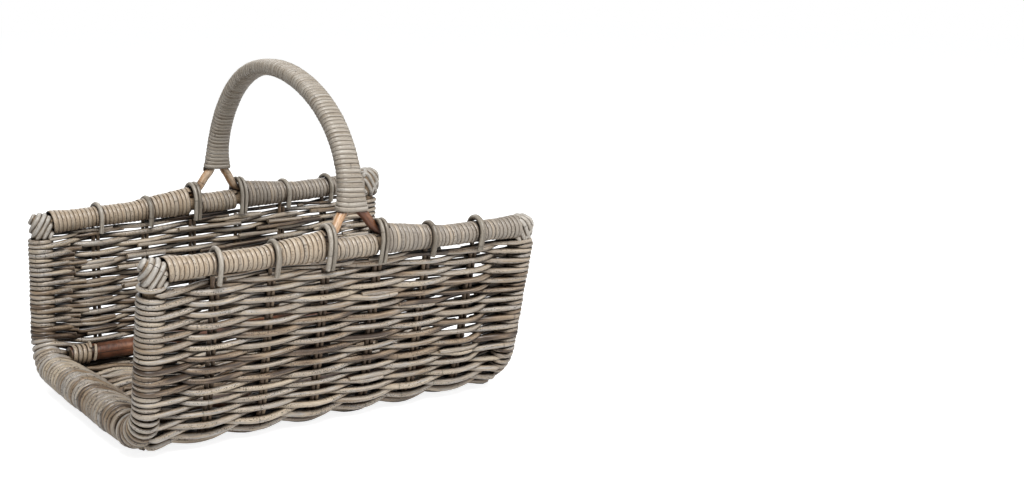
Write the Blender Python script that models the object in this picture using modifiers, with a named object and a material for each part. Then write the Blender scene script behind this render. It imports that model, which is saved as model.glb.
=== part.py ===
"""Open ended rattan carrying basket: two bent end frames, two wound rails, woven walls and floor,
and one fixed wound handle.

Metres, +Z up. X runs along the basket, Y from the front wall to the back wall, and the origin is
on the ground, midway between the two rails. The front wall leans out more than the back wall, so
the floor lies a little behind the origin.
"""
import math

import bmesh
import bpy
from mathutils import Matrix, Vector

# Driving dimensions of the whole basket
FRAME_LENGTH = 0.514          # between the post axes of the two end frames
BASE_WIDTH = 0.3257           # between the wall lines, carried down to the ground
RAIL_HEIGHT = 0.2251          # axis of both top rails above the ground
HANDLE_HEIGHT = 0.4212        # axis of the handle at its crown
FRONT_LEAN = math.radians(8.6)      # the front wall leans out
BACK_LEAN = math.radians(-1.5)      # the back wall leans in a little
BACK_RAIL_TILT = 0.008        # rise of the back rail at its right end, and fall at its left

# Poles and rods
POST_DIAMETER = 0.0200
RAIL_DIAMETER = 0.0180
BASE_POLE_DIAMETER = 0.0230
BASE_POLE_REACH_SHARE = 0.47  # how far a base pole runs from the end stakes towards the posts
CANE_DIAMETER = 0.0105
STAKE_DIAMETER = 0.0050
WEAVER_DIAMETER = 0.0064
FRAME_CORNER_RADIUS = 0.045   # bend of the end frames
FRAME_BAR_HEIGHT = 0.0260     # axis of the end bars above the ground
BASKET_CORNER_RADIUS = 0.034  # bend of the stakes from wall to floor
STAKE_SPACING = 0.0723
STAKE_PAIRS = 6
PAIR_SPACING = 0.0072         # between the two rods of a pair

# Gaps
SEAT_GAP = 0.0003             # between pieces that touch
ROD_GAP = 0.0004              # between a weaver and what it turns round
ROW_GAP = 0.0018              # between neighbouring rows of the walls
FLOOR_ROW_GAP = 0.0052        # between neighbouring rows of the floor
FOOT_CUT = 0.0011             # depth of the worn flats that the basket stands on
WALL_TOP_DROP = 0.0220        # from the rail axis down to the top edge of the weave
WALL_WEAVERS = 3              # unbroken rods in each wall
FLOOR_WEAVERS = 4             # unbroken rods in the floor

# Rail winding, its ties and the handle
STRAND_THICKNESS = 0.0032
STRAND_GAP = 0.0012
HANDLE_STRAND_GAP = 0.0028    # wider, because the loops close up inside the arch
RAIL_LOOPS = 14               # loops of each outer winding of a rail
MIDDLE_LOOPS = 3              # loops between the handle legs
TIE_END_DROP = 0.0213         # from the rail axis down to the cut end of a tie
CANE_RUN = 0.050              # cane that lies on the rail beyond its tie
CANE_TIP_SHARE = 0.20         # thickness left at the cut end of a cane
LEG_INSET = 0.0090            # the leg leaves the rail this far inside its tie
FOOT_RISE = 0.0420            # from the rail axis to the lower end of the handle winding
FOOT_INSET = 0.0040           # the handle stands this far inside the rails there
CROWN_SHIFT = 0.0190          # the crown of the handle stands this far behind the middle
CROWN_SHIFT_POWER = 3         # how soon that shift is lost below the crown
CANE_SPACING = 0.0112         # between the two canes of the handle
FOOT_SPREAD = 0.0068          # how much wider the canes stand at the lower end
FOOT_SPREAD_POWER = 6         # how soon that extra width is lost above the foot
LEG_BEND_RADIUS = 0.0140
HANDLE_LOOPS = 16             # loops of each half of the handle winding
ARCH_STEPS = 24
HANDLE_ROD_GAP = 0.0010       # between the canes and their winding, for the bend of the arch

# Corner caps, nails and pole bindings
CAP_LENGTH = 0.0320
CAP_DEPTH = 0.0310
CAP_RISE = 0.0160
CAP_DROP = 0.0185
CAP_ROUNDING = 0.0085
NAIL_DIAMETER = 0.0024
NAIL_HEAD_DIAMETER = 0.0052
NAIL_HEAD_THICKNESS = 0.0012
NAIL_LENGTH = 0.0450
BINDING_LOOPS = 3
BINDING_WIDTH = 0.0062
BINDING_THICKNESS = 0.0024
BINDING_INSET = 0.0040        # from the end of the pole to the binding
POLE_SEAT_ANGLE = math.radians(40)   # where the base pole leans in the corner, from level

# Sampling of round shapes
BEND_STEPS = 4
LOOP_POINTS = 8
TURN_STEPS = 4
POLE_SIDES = 16
NAIL_SIDES = 8
CUT_OVERRUN = 0.002           # how far a cutter runs past the surface it enters by
WELD_DISTANCE = 0.00003
SLOPE_SHARE = 0.01            # step along the arch over which its direction is taken

# Sizes that follow from these
HALF_LENGTH = FRAME_LENGTH / 2
POST_RADIUS = POST_DIAMETER / 2
RAIL_RADIUS = RAIL_DIAMETER / 2
BASE_POLE_RADIUS = BASE_POLE_DIAMETER / 2
CANE_RADIUS = CANE_DIAMETER / 2
STAKE_RADIUS = STAKE_DIAMETER / 2
WEAVER_RADIUS = WEAVER_DIAMETER / 2
NAIL_RADIUS = NAIL_DIAMETER / 2
OCTAGON_FLAT = math.cos(math.pi / LOOP_POINTS)      # flat over corner of an eight sided loop
PAIR_HALF_WIDTH = PAIR_SPACING / 2 + STAKE_RADIUS
CREST_CLEAR = STAKE_RADIUS + ROD_GAP + WEAVER_RADIUS
CREST = CREST_CLEAR / (1 - 2 * PAIR_HALF_WIDTH / STAKE_SPACING)
WOUND_RADIUS = (RAIL_RADIUS + ROD_GAP + STRAND_THICKNESS / 2) / OCTAGON_FLAT + STRAND_THICKNESS / 2
MIDDLE_SHIFT = RAIL_HEIGHT * (math.tan(FRONT_LEAN) - math.tan(BACK_LEAN)) / 2
PAIR_SHARE = 2 * PAIR_HALF_WIDTH / (STAKE_SPACING + PAIR_HALF_WIDTH)
END_CREST = (CREST_CLEAR + PAIR_SHARE * CREST) / (1 - PAIR_SHARE)
TURN_RADIUS = (POST_RADIUS + ROD_GAP + WEAVER_RADIUS) / OCTAGON_FLAT
FLOOR_HEIGHT = END_CREST + WEAVER_RADIUS - FOOT_CUT
STAKE_PLACES = [(i - (STAKE_PAIRS - 1) / 2) * STAKE_SPACING for i in range(STAKE_PAIRS)]
LEG_PLACE = STAKE_SPACING / 2
END_STAKE = STAKE_PLACES[-1] + PAIR_HALF_WIDTH      # far side of the end stakes
BLEND_START = END_STAKE + ROD_GAP
BASE_POLE_LENGTH = 2 * (END_STAKE + (HALF_LENGTH - END_STAKE) * BASE_POLE_REACH_SHARE)

PARTS = bpy.data.collections.new("rattan_basket")
CUTTERS = bpy.data.collections.new("cutters")


def clear_scene():
    """Remove what the scene holds and link the two collections."""
    for old in list(bpy.data.objects):
        bpy.data.objects.remove(old, do_unlink=True)
    bpy.context.scene.collection.children.link(PARTS)
    bpy.context.scene.collection.children.link(CUTTERS)


def material(name, colour, roughness):
    """A plain finish with one colour."""
    made = bpy.data.materials.new(name)
    made.use_nodes = True
    shader = made.node_tree.nodes["Principled BSDF"]
    shader.inputs["Base Color"].default_value = (*colour, 1)
    shader.inputs["Roughness"].default_value = roughness
    shader.inputs["Metallic"].default_value = 0
    return made


# Shapes


def tube(name, path, radius, finish, resolution=0):
    """A named rod along a path. A point of it is a place, or a place and its thickness share."""
    curve = bpy.data.curves.new(name, "CURVE")
    curve.dimensions = "3D"
    curve.bevel_depth = radius
    curve.bevel_resolution = resolution
    curve.use_fill_caps = True
    spline = curve.splines.new("POLY")
    spline.points.add(len(path) - 1)
    for point, entry in zip(spline.points, path):
        place, share = entry if isinstance(entry, tuple) else (entry, 1)
        point.co = (*place, 1)
        point.radius = share
    curve.materials.append(finish)
    made = bpy.data.objects.new(name, curve)
    PARTS.objects.link(made)
    return made


def link_mesh(name, shape, finish, collection=PARTS):
    """Turn a bmesh into a named object."""
    mesh = bpy.data.meshes.new(name)
    shape.to_mesh(mesh)
    shape.free()
    made = bpy.data.objects.new(name, mesh)
    if finish:
        mesh.materials.append(finish)
    collection.objects.link(made)
    return made


def add_rod(shape, start, end, radius, sides=POLE_SIDES):
    """Add a straight round rod between two points to a bmesh."""
    axis = end - start
    turn = axis.to_track_quat("Z", "Y").to_matrix().to_4x4()
    bmesh.ops.create_cone(shape, cap_ends=True, segments=sides, radius1=radius, radius2=radius,
                          depth=axis.length, matrix=Matrix.Translation((start + end) / 2) @ turn)


def pole(name, start, end, radius, finish):
    """A straight round pole from a start to an end."""
    shape = bmesh.new()
    add_rod(shape, start, end, radius)
    return link_mesh(name, shape, finish)


def as_mesh(rod):
    """Replace a curve object by its welded mesh, so that it can be cut."""
    seen = rod.evaluated_get(bpy.context.evaluated_depsgraph_get())
    mesh = bpy.data.meshes.new_from_object(seen)
    shape = bmesh.new()
    shape.from_mesh(mesh)
    bmesh.ops.remove_doubles(shape, verts=shape.verts, dist=WELD_DISTANCE)
    shape.to_mesh(mesh)
    shape.free()
    name, place = rod.name, rod.matrix_world.copy()
    bpy.data.objects.remove(rod, do_unlink=True)
    made = bpy.data.objects.new(name, mesh)
    made.matrix_world = place
    PARTS.objects.link(made)
    return made


def cut(piece, cutter):
    """Take the cutter out of a piece."""
    cutter.hide_render = True
    cutter.display_type = "WIRE"
    step = piece.modifiers.new(cutter.name, "BOOLEAN")
    step.operation = "DIFFERENCE"
    step.object = cutter


def rod_cutter(name, start, end, radius, sides=POLE_SIDES):
    """A round cutter between two points."""
    shape = bmesh.new()
    add_rod(shape, start, end, radius, sides)
    return link_mesh(name, shape, None, CUTTERS)


def strip(name, sections, width, thickness, finish):
    """A flat strand swept through sections, each a place, the way across it and the way outwards."""
    shape = bmesh.new()
    rings = []
    for place, across, outward in sections:
        corners = [(-1, -1), (1, -1), (1, 1), (-1, 1)]
        rings.append([shape.verts.new(place + across * (a * width / 2) + outward * (b * thickness / 2))
                      for a, b in corners])
    for one, two in zip(rings, rings[1:]):
        for i in range(len(one)):
            shape.faces.new((one[i], one[i - 1], two[i - 1], two[i]))
    shape.faces.new(rings[0])
    shape.faces.new(list(reversed(rings[-1])))
    bmesh.ops.recalc_face_normals(shape, faces=shape.faces)
    return link_mesh(name, shape, finish)


def least_gap(sections, width):
    """Least distance between a strand's edge and the edge of its next loop, measured on its points."""
    gaps = []
    for one, two in zip(sections, sections[LOOP_POINTS:]):
        gaps.append(((two[0] - two[1] * (width / 2)) - (one[0] + one[1] * (width / 2))).length)
    return min(gaps)


def rounded(corners, radii, steps=BEND_STEPS):
    """A path through corner points, with each inner corner turned into an arc."""
    path = [corners[0]]
    for before, corner, after, radius in zip(corners, corners[1:], corners[2:], radii):
        towards = (before - corner).normalized()
        away = (after - corner).normalized()
        half = towards.angle(away) / 2
        centre = corner + (towards + away).normalized() * (radius / math.sin(half))
        first = corner + towards * (radius / math.tan(half)) - centre
        last = corner + away * (radius / math.tan(half)) - centre
        whole = first.angle(last)
        for i in range(steps + 1):
            part = whole * i / steps
            spoke = (first * math.sin(whole - part) + last * math.sin(part)) / math.sin(whole)
            path.append(centre + spoke)
    path.append(corners[-1])
    return path


# The shell that the weave follows


def wall_y(side, height):
    """Y of the middle of a wall at a height. Side is -1 for the front and 1 for the back."""
    lean = FRONT_LEAN if side < 0 else BACK_LEAN
    return side * (BASE_WIDTH / 2 + height * math.tan(lean)) + MIDDLE_SHIFT


def wall_up(side):
    """Unit vector up the slope of a wall."""
    lean = FRONT_LEAN if side < 0 else BACK_LEAN
    return Vector((0, side * math.sin(lean), math.cos(lean)))


def wall_out(side):
    """Unit vector out of a wall."""
    lean = FRONT_LEAN if side < 0 else BACK_LEAN
    return Vector((0, side * math.cos(lean), -math.sin(lean)))


def rail_point(side, x):
    """A point on a rail's axis."""
    tilt = BACK_RAIL_TILT * x / HALF_LENGTH if side > 0 else 0
    return Vector((x, wall_y(side, RAIL_HEIGHT), RAIL_HEIGHT + tilt))


def bend(side, level, radius):
    """Centre of a bend between wall and floor, and the angles where it leaves the wall and the floor."""
    lean = FRONT_LEAN if side < 0 else BACK_LEAN
    reach = radius * math.tan((math.pi / 2 - lean) / 2)
    centre = Vector((0, wall_y(side, level) - side * reach, level + radius))
    return centre, math.pi + lean if side < 0 else 2 * math.pi - lean, 3 * math.pi / 2


def profile(place, level, radius):
    """Point and outward normal of the U shaped section.

    Place runs 0 to 1 down the front wall, 1 to 2 round the front bend, 2 to 3 over the floor,
    3 to 4 round the back bend and 4 to 5 up the back wall.
    """
    front, front_wall, down = bend(-1, level, radius)
    back, back_wall, _ = bend(1, level, radius)
    top = RAIL_HEIGHT - WALL_TOP_DROP

    def on_arc(centre, angle):
        normal = Vector((0, math.cos(angle), math.sin(angle)))
        return centre + normal * radius, normal

    if place < 1:
        foot, normal = on_arc(front, front_wall)
        return Vector((0, wall_y(-1, top), top)).lerp(foot, place), normal
    if place < 2:
        return on_arc(front, front_wall + (down - front_wall) * (place - 1))
    if place <= 3:
        start, normal = on_arc(front, down)
        end, _ = on_arc(back, down)
        return start.lerp(end, place - 2), normal
    if place < 4:
        return on_arc(back, down + (back_wall - down) * (place - 3))
    foot, normal = on_arc(back, back_wall)
    return foot.lerp(Vector((0, wall_y(1, top), top)), place - 4), normal


def shell(place, x, out):
    """A point of the woven shell, at a distance outside its middle surface."""
    share = min(max((abs(x) - BLEND_START) / (HALF_LENGTH - BLEND_START), 0), 1)
    share = share * share * (3 - 2 * share)
    inner, inner_normal = profile(place, FLOOR_HEIGHT, BASKET_CORNER_RADIUS)
    outer, outer_normal = profile(place, FRAME_BAR_HEIGHT, FRAME_CORNER_RADIUS)
    point = inner.lerp(outer, share)
    normal = inner_normal.lerp(outer_normal, share).normalized()
    rise = BACK_RAIL_TILT * x / HALF_LENGTH * max(place - 4, 0)
    return point + normal * out + Vector((x, 0, rise))


# Frames and rails


def end_frame(name, side_x, finish):
    """A pole bent to a U: front post, end bar and back post."""
    x = side_x * HALF_LENGTH
    tilts = (0, POST_RADIUS * abs(BACK_RAIL_TILT) / HALF_LENGTH)
    tops = [rail_point(side, x) - wall_up(side) * (RAIL_RADIUS + SEAT_GAP + tilt)
            for side, tilt in zip((-1, 1), tilts)]
    feet = [Vector((x, wall_y(side, FRAME_BAR_HEIGHT), FRAME_BAR_HEIGHT)) for side in (-1, 1)]
    path = rounded([tops[0], feet[0], feet[1], tops[1]], [FRAME_CORNER_RADIUS] * 2, 2 * BEND_STEPS)
    return as_mesh(tube(name, path, POST_RADIUS, finish, 2))


def rail(name, side, finish):
    """A straight top pole, long enough to cover both posts."""
    reach = HALF_LENGTH + POST_RADIUS
    return pole(name, rail_point(side, -reach), rail_point(side, reach), RAIL_RADIUS, finish)


def base_pole_axis(side):
    """Start and end of the bark pole that lies in the corner between wall and floor."""
    centre, _, _ = bend(side, FLOOR_HEIGHT, BASKET_CORNER_RADIUS)
    inside = BASKET_CORNER_RADIUS - END_CREST - WEAVER_RADIUS
    wound = BASE_POLE_RADIUS + (BINDING_THICKNESS + SEAT_GAP) / OCTAGON_FLAT
    reach = inside - wound
    seat = centre + Vector((0, side * math.cos(POLE_SEAT_ANGLE), -math.sin(POLE_SEAT_ANGLE))) * reach
    half = Vector((BASE_POLE_LENGTH / 2, 0, 0))
    return seat - half, seat + half


# Wound strands


def loop_sections(axis_point, along, up, radius, lift, loops, half_spread=None):
    """Sections of a strand wound round a straight or bent core.

    axis_point, along, up, radius, lift and half_spread take a share from 0 to 1 along the winding.
    """
    sections = []
    total = loops * LOOP_POINTS
    for i in range(total + 1):
        share = i / total
        angle = 2 * math.pi * (i + 0.5) / LOOP_POINTS
        upward = up(share)
        side = along(share).cross(upward)
        outward = side * math.cos(angle) + upward * math.sin(angle)
        place = axis_point(share) + upward * lift(share) + outward * radius(share)
        if half_spread:
            place += side * math.copysign(half_spread(share), math.cos(angle))
        sections.append((place, along(share), outward))
    return sections


def wind(name, length, finish, thickness, gap, loops, **route):
    """Make one wound strand and print its least gap to itself."""
    width = length / (loops + 1) - gap
    sections = loop_sections(loops=loops, **route)
    made = strip(name, sections, width, thickness, finish)
    print(name, "least gap to itself", round(least_gap(sections, width) * 1000, 2), "mm")
    return made


def swell(x, pitch):
    """How much the cane on top of a rail lifts a strand of the winding at a place along it."""
    level = LEG_PLACE + PAIR_HALF_WIDTH
    tip = LEG_PLACE + CANE_RUN
    near = abs(x) - pitch / 2
    share = 1 - (1 - CANE_TIP_SHARE) * min(max(near - level, 0) / (tip - level), 1)
    fade = min(max(1 - 2 * (near - tip) / pitch, 0), 1)
    return (2 * CANE_RADIUS * share + SEAT_GAP) * fade


def rail_winding(name, side, start, end, loops, lifted, finish):
    """Cane wound round one stretch of a rail, from start to end."""
    pitch = (end - start) / (loops + 1)
    first = start + pitch / 2
    last = end - pitch / 2
    direction = (rail_point(side, HALF_LENGTH) - rail_point(side, -HALF_LENGTH)).normalized()
    upward = direction.cross(Vector((0, 1, 0)))

    def raised(share):
        return swell(first + (last - first) * share, pitch) if lifted else 0

    def radius(share):
        return (RAIL_RADIUS + ROD_GAP + (raised(share) + STRAND_THICKNESS) / 2) / OCTAGON_FLAT

    return wind(name, end - start, finish, STRAND_THICKNESS, STRAND_GAP, loops,
                axis_point=lambda share: rail_point(side, first + (last - first) * share),
                along=lambda share: direction, up=lambda share: upward, radius=radius,
                lift=lambda share: raised(share) / 2)


def rail_windings(label, side, finish):
    """The three wound stretches of a rail: outside, between and outside the handle legs."""
    inner = LEG_PLACE + PAIR_HALF_WIDTH + 2 * ROD_GAP
    middle = LEG_PLACE - LEG_INSET - CANE_RADIUS
    outer = HALF_LENGTH - CAP_LENGTH / 2 - ROD_GAP
    rail_winding(label + "_rail_winding_left", side, -outer, -inner, RAIL_LOOPS, True, finish)
    rail_winding(label + "_rail_winding_middle", side, -middle, middle, MIDDLE_LOOPS, False, finish)
    rail_winding(label + "_rail_winding_right", side, inner, outer, RAIL_LOOPS, True, finish)


# Handle


def handle_point(angle):
    """Centre of the handle. The angle runs from half a turn at the front foot to zero at the back."""
    foot_height = RAIL_HEIGHT + FOOT_RISE
    front = wall_y(-1, RAIL_HEIGHT) + FOOT_INSET
    back = wall_y(1, RAIL_HEIGHT) - FOOT_INSET
    y = (front + back) / 2 + (back - front) / 2 * math.cos(angle)
    y += CROWN_SHIFT * math.sin(angle) ** CROWN_SHIFT_POWER
    return Vector((0, y, foot_height + (HANDLE_HEIGHT - foot_height) * math.sin(angle)))


def handle_half_spread(angle):
    """Half the distance between the two canes, wider towards the feet."""
    return (CANE_SPACING + FOOT_SPREAD * (1 - math.sin(angle)) ** FOOT_SPREAD_POWER) / 2


def handle_cane(name, side_x, finish):
    """One cane of the handle, from its cut end on the front rail to its cut end on the back rail."""

    def leg(side):
        lying = Vector((0, 0, CANE_RADIUS + RAIL_RADIUS + SEAT_GAP))
        tip = Vector((0, 0, CANE_RADIUS * CANE_TIP_SHARE + RAIL_RADIUS + SEAT_GAP))
        outside = rail_point(side, side_x * (LEG_PLACE + CANE_RUN)) + tip
        level = rail_point(side, side_x * (LEG_PLACE + PAIR_HALF_WIDTH)) + lying
        bent = rail_point(side, side_x * (LEG_PLACE - LEG_INSET)) + lying
        foot = handle_point(math.pi if side < 0 else 0)
        foot.x = side_x * handle_half_spread(0)
        return [outside, level, bent, foot]

    crown = []
    for i in range(1, ARCH_STEPS):
        angle = math.pi * (1 - i / ARCH_STEPS)
        crown.append(handle_point(angle) + Vector((side_x * handle_half_spread(angle), 0, 0)))
    front = leg(-1)
    back = leg(1)
    start = rounded(front[1:] + crown[:1], [LEG_BEND_RADIUS] * 2)[1:-1]
    finish_leg = rounded(crown[-1:] + back[:0:-1], [LEG_BEND_RADIUS] * 2)[1:-1]
    path = [(front[0], CANE_TIP_SHARE), front[1]] + start + crown
    path += finish_leg + [back[1], (back[0], CANE_TIP_SHARE)]
    return tube(name, path, CANE_RADIUS, finish, 1)


def handle_winding(name, from_angle, to_angle, finish):
    """The strand wound round half of the handle."""

    strand_share = 1 / (HANDLE_LOOPS + 1)
    radius = (CANE_RADIUS + HANDLE_ROD_GAP + STRAND_THICKNESS / 2) / OCTAGON_FLAT

    def angle(share):
        inside = strand_share / 2 + share * (1 - strand_share)
        return from_angle + (to_angle - from_angle) * inside

    def along(share):
        step = handle_point(angle(share + SLOPE_SHARE)) - handle_point(angle(share - SLOPE_SHARE))
        return step.normalized()

    places = [from_angle + (to_angle - from_angle) * i / ARCH_STEPS for i in range(ARCH_STEPS + 1)]
    steps = [handle_point(place) for place in places]
    length = sum((two - one).length for one, two in zip(steps, steps[1:]))
    return wind(name, length, finish, STRAND_THICKNESS, HANDLE_STRAND_GAP, HANDLE_LOOPS,
                axis_point=lambda share: handle_point(angle(share)), along=along,
                up=lambda share: Vector((1, 0, 0)).cross(along(share)),
                radius=lambda share: radius, lift=lambda share: 0,
                half_spread=lambda share: handle_half_spread(angle(share)))


# Stakes and ties


def tie_over_rail(side, x, at_leg):
    """The upper end of a stake: up inside the rail, over its winding and down to the stake again."""
    lift = CANE_RADIUS + SEAT_GAP if at_leg else 0
    core = RAIL_RADIUS + lift if at_leg else WOUND_RADIUS
    radius = (core + ROD_GAP + STAKE_RADIUS) / OCTAGON_FLAT
    centre = rail_point(side, x) + wall_up(side) * lift
    out, up = wall_out(side), wall_up(side)
    over = []
    for i in range(LOOP_POINTS // 2 + 2):
        angle = 2 * math.pi * (i - 0.5) / LOOP_POINTS
        over.append(centre + (out * math.cos(angle) + up * math.sin(angle)) * radius)
    end = rail_point(side, x) + out * (STAKE_DIAMETER + ROD_GAP) - up * TIE_END_DROP
    return [end] + over


def stake_run(rod_x, loops_over, at_leg):
    """The route of one stake: down the front wall, under the floor and up the back wall."""
    joined = []
    for side in (-1, 1):
        top = rail_point(side, rod_x) - wall_up(side) * (WOUND_RADIUS + ROD_GAP)
        if loops_over:
            top = rail_point(side, rod_x) - wall_up(side) * WALL_TOP_DROP
            joined.append(tie_over_rail(side, rod_x, at_leg) + [top])
        else:
            joined.append([top])
    feet = [Vector((rod_x, wall_y(side, FLOOR_HEIGHT), FLOOR_HEIGHT)) for side in (-1, 1)]
    middle = rounded([joined[0][-1], feet[0], feet[1], joined[1][-1]], [BASKET_CORNER_RADIUS] * 2)
    return joined[0][:-1] + middle + joined[1][-2::-1]


def stake_pair(number, x, finish):
    """Two rods side by side. One of them is the tie over each rail, and both are at a handle leg."""
    at_leg = abs(abs(x) - LEG_PLACE) < PAIR_SPACING
    for label, offset in (("left", -PAIR_SPACING / 2), ("right", PAIR_SPACING / 2)):
        route = stake_run(x + offset, at_leg or offset > 0, at_leg)
        tube(f"stake_{number}_{label}", route, STAKE_RADIUS, finish)


# Weavers


def rows_between():
    """Place of every row round the section, from the top of the front wall to that of the back wall."""
    pitch = WEAVER_DIAMETER + ROW_GAP
    wide = WEAVER_DIAMETER + FLOOR_ROW_GAP
    lengths = []
    for start in range(5):
        one, _ = profile(start, FLOOR_HEIGHT, BASKET_CORNER_RADIUS)
        two, _ = profile(start + 1, FLOOR_HEIGHT, BASKET_CORNER_RADIUS)
        straight = (two - one).length
        lengths.append(straight if start % 2 == 0 else BASKET_CORNER_RADIUS * math.pi / 2)
    counts = [int(lengths[i] / (wide if i == 2 else pitch)) for i in range(5)]
    places = []
    for start, count in enumerate(counts):
        places.append([start + (i + 0.5) / count for i in range(count)])
    return places


def row_points(place, index, turn_to):
    """One row from post to post, and its turn round the last post towards the next row's place."""
    heading = 1 if index % 2 == 0 else -1
    stops = [(-HALF_LENGTH, TURN_RADIUS), (-END_STAKE, END_CREST)]
    stops += [(x, CREST) for x in STAKE_PLACES[1:-1]]
    stops += [(END_STAKE, END_CREST), (HALF_LENGTH, TURN_RADIUS)]
    points = []
    for number, (x, reach) in enumerate(stops):
        sign = 1 if (index + number) % 2 == 0 else -1
        points.append(shell(place, x, sign * reach))
    if heading < 0:
        points.reverse()
    if turn_to is not None:
        sign = -1
        for i in range(1, TURN_STEPS):
            angle = math.pi * i / TURN_STEPS
            x = heading * (HALF_LENGTH + TURN_RADIUS * math.sin(angle))
            out = sign * TURN_RADIUS * math.cos(angle)
            points.append(shell(place + (turn_to - place) * i / TURN_STEPS, x, out))
    return points


def weaver(name, places, first_index, finish):
    """One unbroken rod woven through a group of rows."""
    path = []
    for i, place in enumerate(places):
        following = places[i + 1] if i + 1 < len(places) else None
        path += row_points(place, first_index + i, following)
    return tube(name, path, WEAVER_RADIUS, finish)


def weave(finish):
    """Every weaver: three on each wall, one round each bend and four in the floor."""
    groups = [("front_wall_weaver", WALL_WEAVERS), ("front_corner_weaver", 1),
              ("floor_weaver", FLOOR_WEAVERS), ("back_corner_weaver", 1),
              ("back_wall_weaver", WALL_WEAVERS)]
    index = 0
    made = []
    for (label, count), places in zip(groups, rows_between()):
        for number in range(count):
            start = round(len(places) * number / count)
            end = round(len(places) * (number + 1) / count)
            name = label if count == 1 else f"{label}_{number + 1}"
            made.append(weaver(name, places[start:end], index, finish))
            index += end - start
    return made


def stand_flat(pieces):
    """Cut the weavers that the basket stands on flat at the ground."""
    shape = bmesh.new()
    bmesh.ops.create_cube(shape, size=1)
    slab = link_mesh("ground_cutter", shape, None, CUTTERS)
    slab.scale = (2 * FRAME_LENGTH, 2 * BASE_WIDTH, WEAVER_DIAMETER)
    slab.location = (0, 0, -WEAVER_DIAMETER / 2)
    for piece in pieces:
        cut(as_mesh(piece), slab)


# Corner caps, nails and bindings


def corner(label, side, side_x, frame, rail_piece, cap_finish, nail_finish):
    """The nail that joins a rail to its post, with its holes, and the woven cap over the joint."""
    x = side_x * HALF_LENGTH
    joint = rail_point(side, x)
    up = wall_up(side)
    head_seat = joint + up * (RAIL_RADIUS + SEAT_GAP)
    tip = head_seat - up * NAIL_LENGTH
    hole = rod_cutter(label + "_nail_hole", head_seat + up * CUT_OVERRUN, tip - up * SEAT_GAP,
                      NAIL_RADIUS + SEAT_GAP, NAIL_SIDES)
    cut(rail_piece, hole)
    cut(frame, hole)

    shape = bmesh.new()
    bmesh.ops.create_cube(shape, size=1)
    cap = link_mesh(label + "_cap", shape, cap_finish)
    block = Matrix.Diagonal((CAP_LENGTH, CAP_DEPTH, CAP_RISE + CAP_DROP, 1))
    cap.data.transform(Matrix.Translation((0, 0, (CAP_RISE - CAP_DROP) / 2)) @ block)
    lean = Vector((0, 0, 1)).rotation_difference(up).to_matrix().to_4x4()
    cap.data.transform(Matrix.Translation(joint) @ lean)
    rounding = cap.modifiers.new("rounding", "BEVEL")
    rounding.width = CAP_ROUNDING
    rounding.segments = 2
    rail_end = rail_point(side, side_x * (HALF_LENGTH + POST_RADIUS + SEAT_GAP))
    rail_inside = rail_point(side, side_x * (HALF_LENGTH - CAP_LENGTH))
    cut(cap, rod_cutter(label + "_rail_socket", rail_end, rail_inside, RAIL_RADIUS + SEAT_GAP))
    cut(cap, rod_cutter(label + "_post_socket", joint, joint - up * (CAP_DROP + CUT_OVERRUN),
                        POST_RADIUS + SEAT_GAP))
    head_room = head_seat + up * (NAIL_HEAD_THICKNESS + SEAT_GAP)
    cut(cap, rod_cutter(label + "_head_room", joint, head_room,
                        NAIL_HEAD_DIAMETER / 2 + SEAT_GAP, NAIL_SIDES))
    nail(label + "_nail", head_seat, tip, nail_finish)


def nail(name, head_seat, tip, finish):
    """A nail: a shank with a flat head, turned as one profile."""
    up = (head_seat - tip).normalized()
    head_radius = NAIL_HEAD_DIAMETER / 2
    head_top = NAIL_LENGTH + NAIL_HEAD_THICKNESS
    outline = [(0, head_top), (head_radius, head_top), (head_radius, NAIL_LENGTH),
               (NAIL_RADIUS, NAIL_LENGTH), (NAIL_RADIUS, 0), (0, 0)]
    shape = bmesh.new()
    line = [shape.verts.new((radius, 0, height)) for radius, height in outline]
    for pair in zip(line, line[1:]):
        shape.edges.new(pair)
    made = link_mesh(name, shape, finish)
    turned = made.modifiers.new("turned", "SCREW")
    turned.steps = NAIL_SIDES
    turned.render_steps = NAIL_SIDES
    turned.use_merge_vertices = True
    turned.merge_threshold = WELD_DISTANCE
    made.location = tip
    made.rotation_euler = Vector((0, 0, 1)).rotation_difference(up).to_euler()
    return made


def bindings(finish):
    """Cane wound round both ends of each base pole."""
    length = BINDING_LOOPS * (BINDING_WIDTH + STRAND_GAP) + BINDING_WIDTH
    for side, label in ((-1, "front"), (1, "back")):
        start, end = base_pole_axis(side)
        for tip, side_x, hand in ((start, 1, "left"), (end, -1, "right")):
            near = tip + Vector((side_x * (BINDING_INSET + BINDING_WIDTH / 2), 0, 0))
            run = Vector((side_x * (length - BINDING_WIDTH), 0, 0))
            radius = (BASE_POLE_RADIUS + SEAT_GAP + BINDING_THICKNESS / 2) / OCTAGON_FLAT
            wind(f"{label}_pole_binding_{hand}", length, finish, BINDING_THICKNESS,
                 STRAND_GAP, BINDING_LOOPS,
                 axis_point=lambda share, near=near, run=run: near + run * share,
                 along=lambda share, side_x=side_x: Vector((side_x, 0, 0)),
                 up=lambda share: Vector((0, 0, 1)),
                 radius=lambda share, radius=radius: radius, lift=lambda share: 0)


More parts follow.
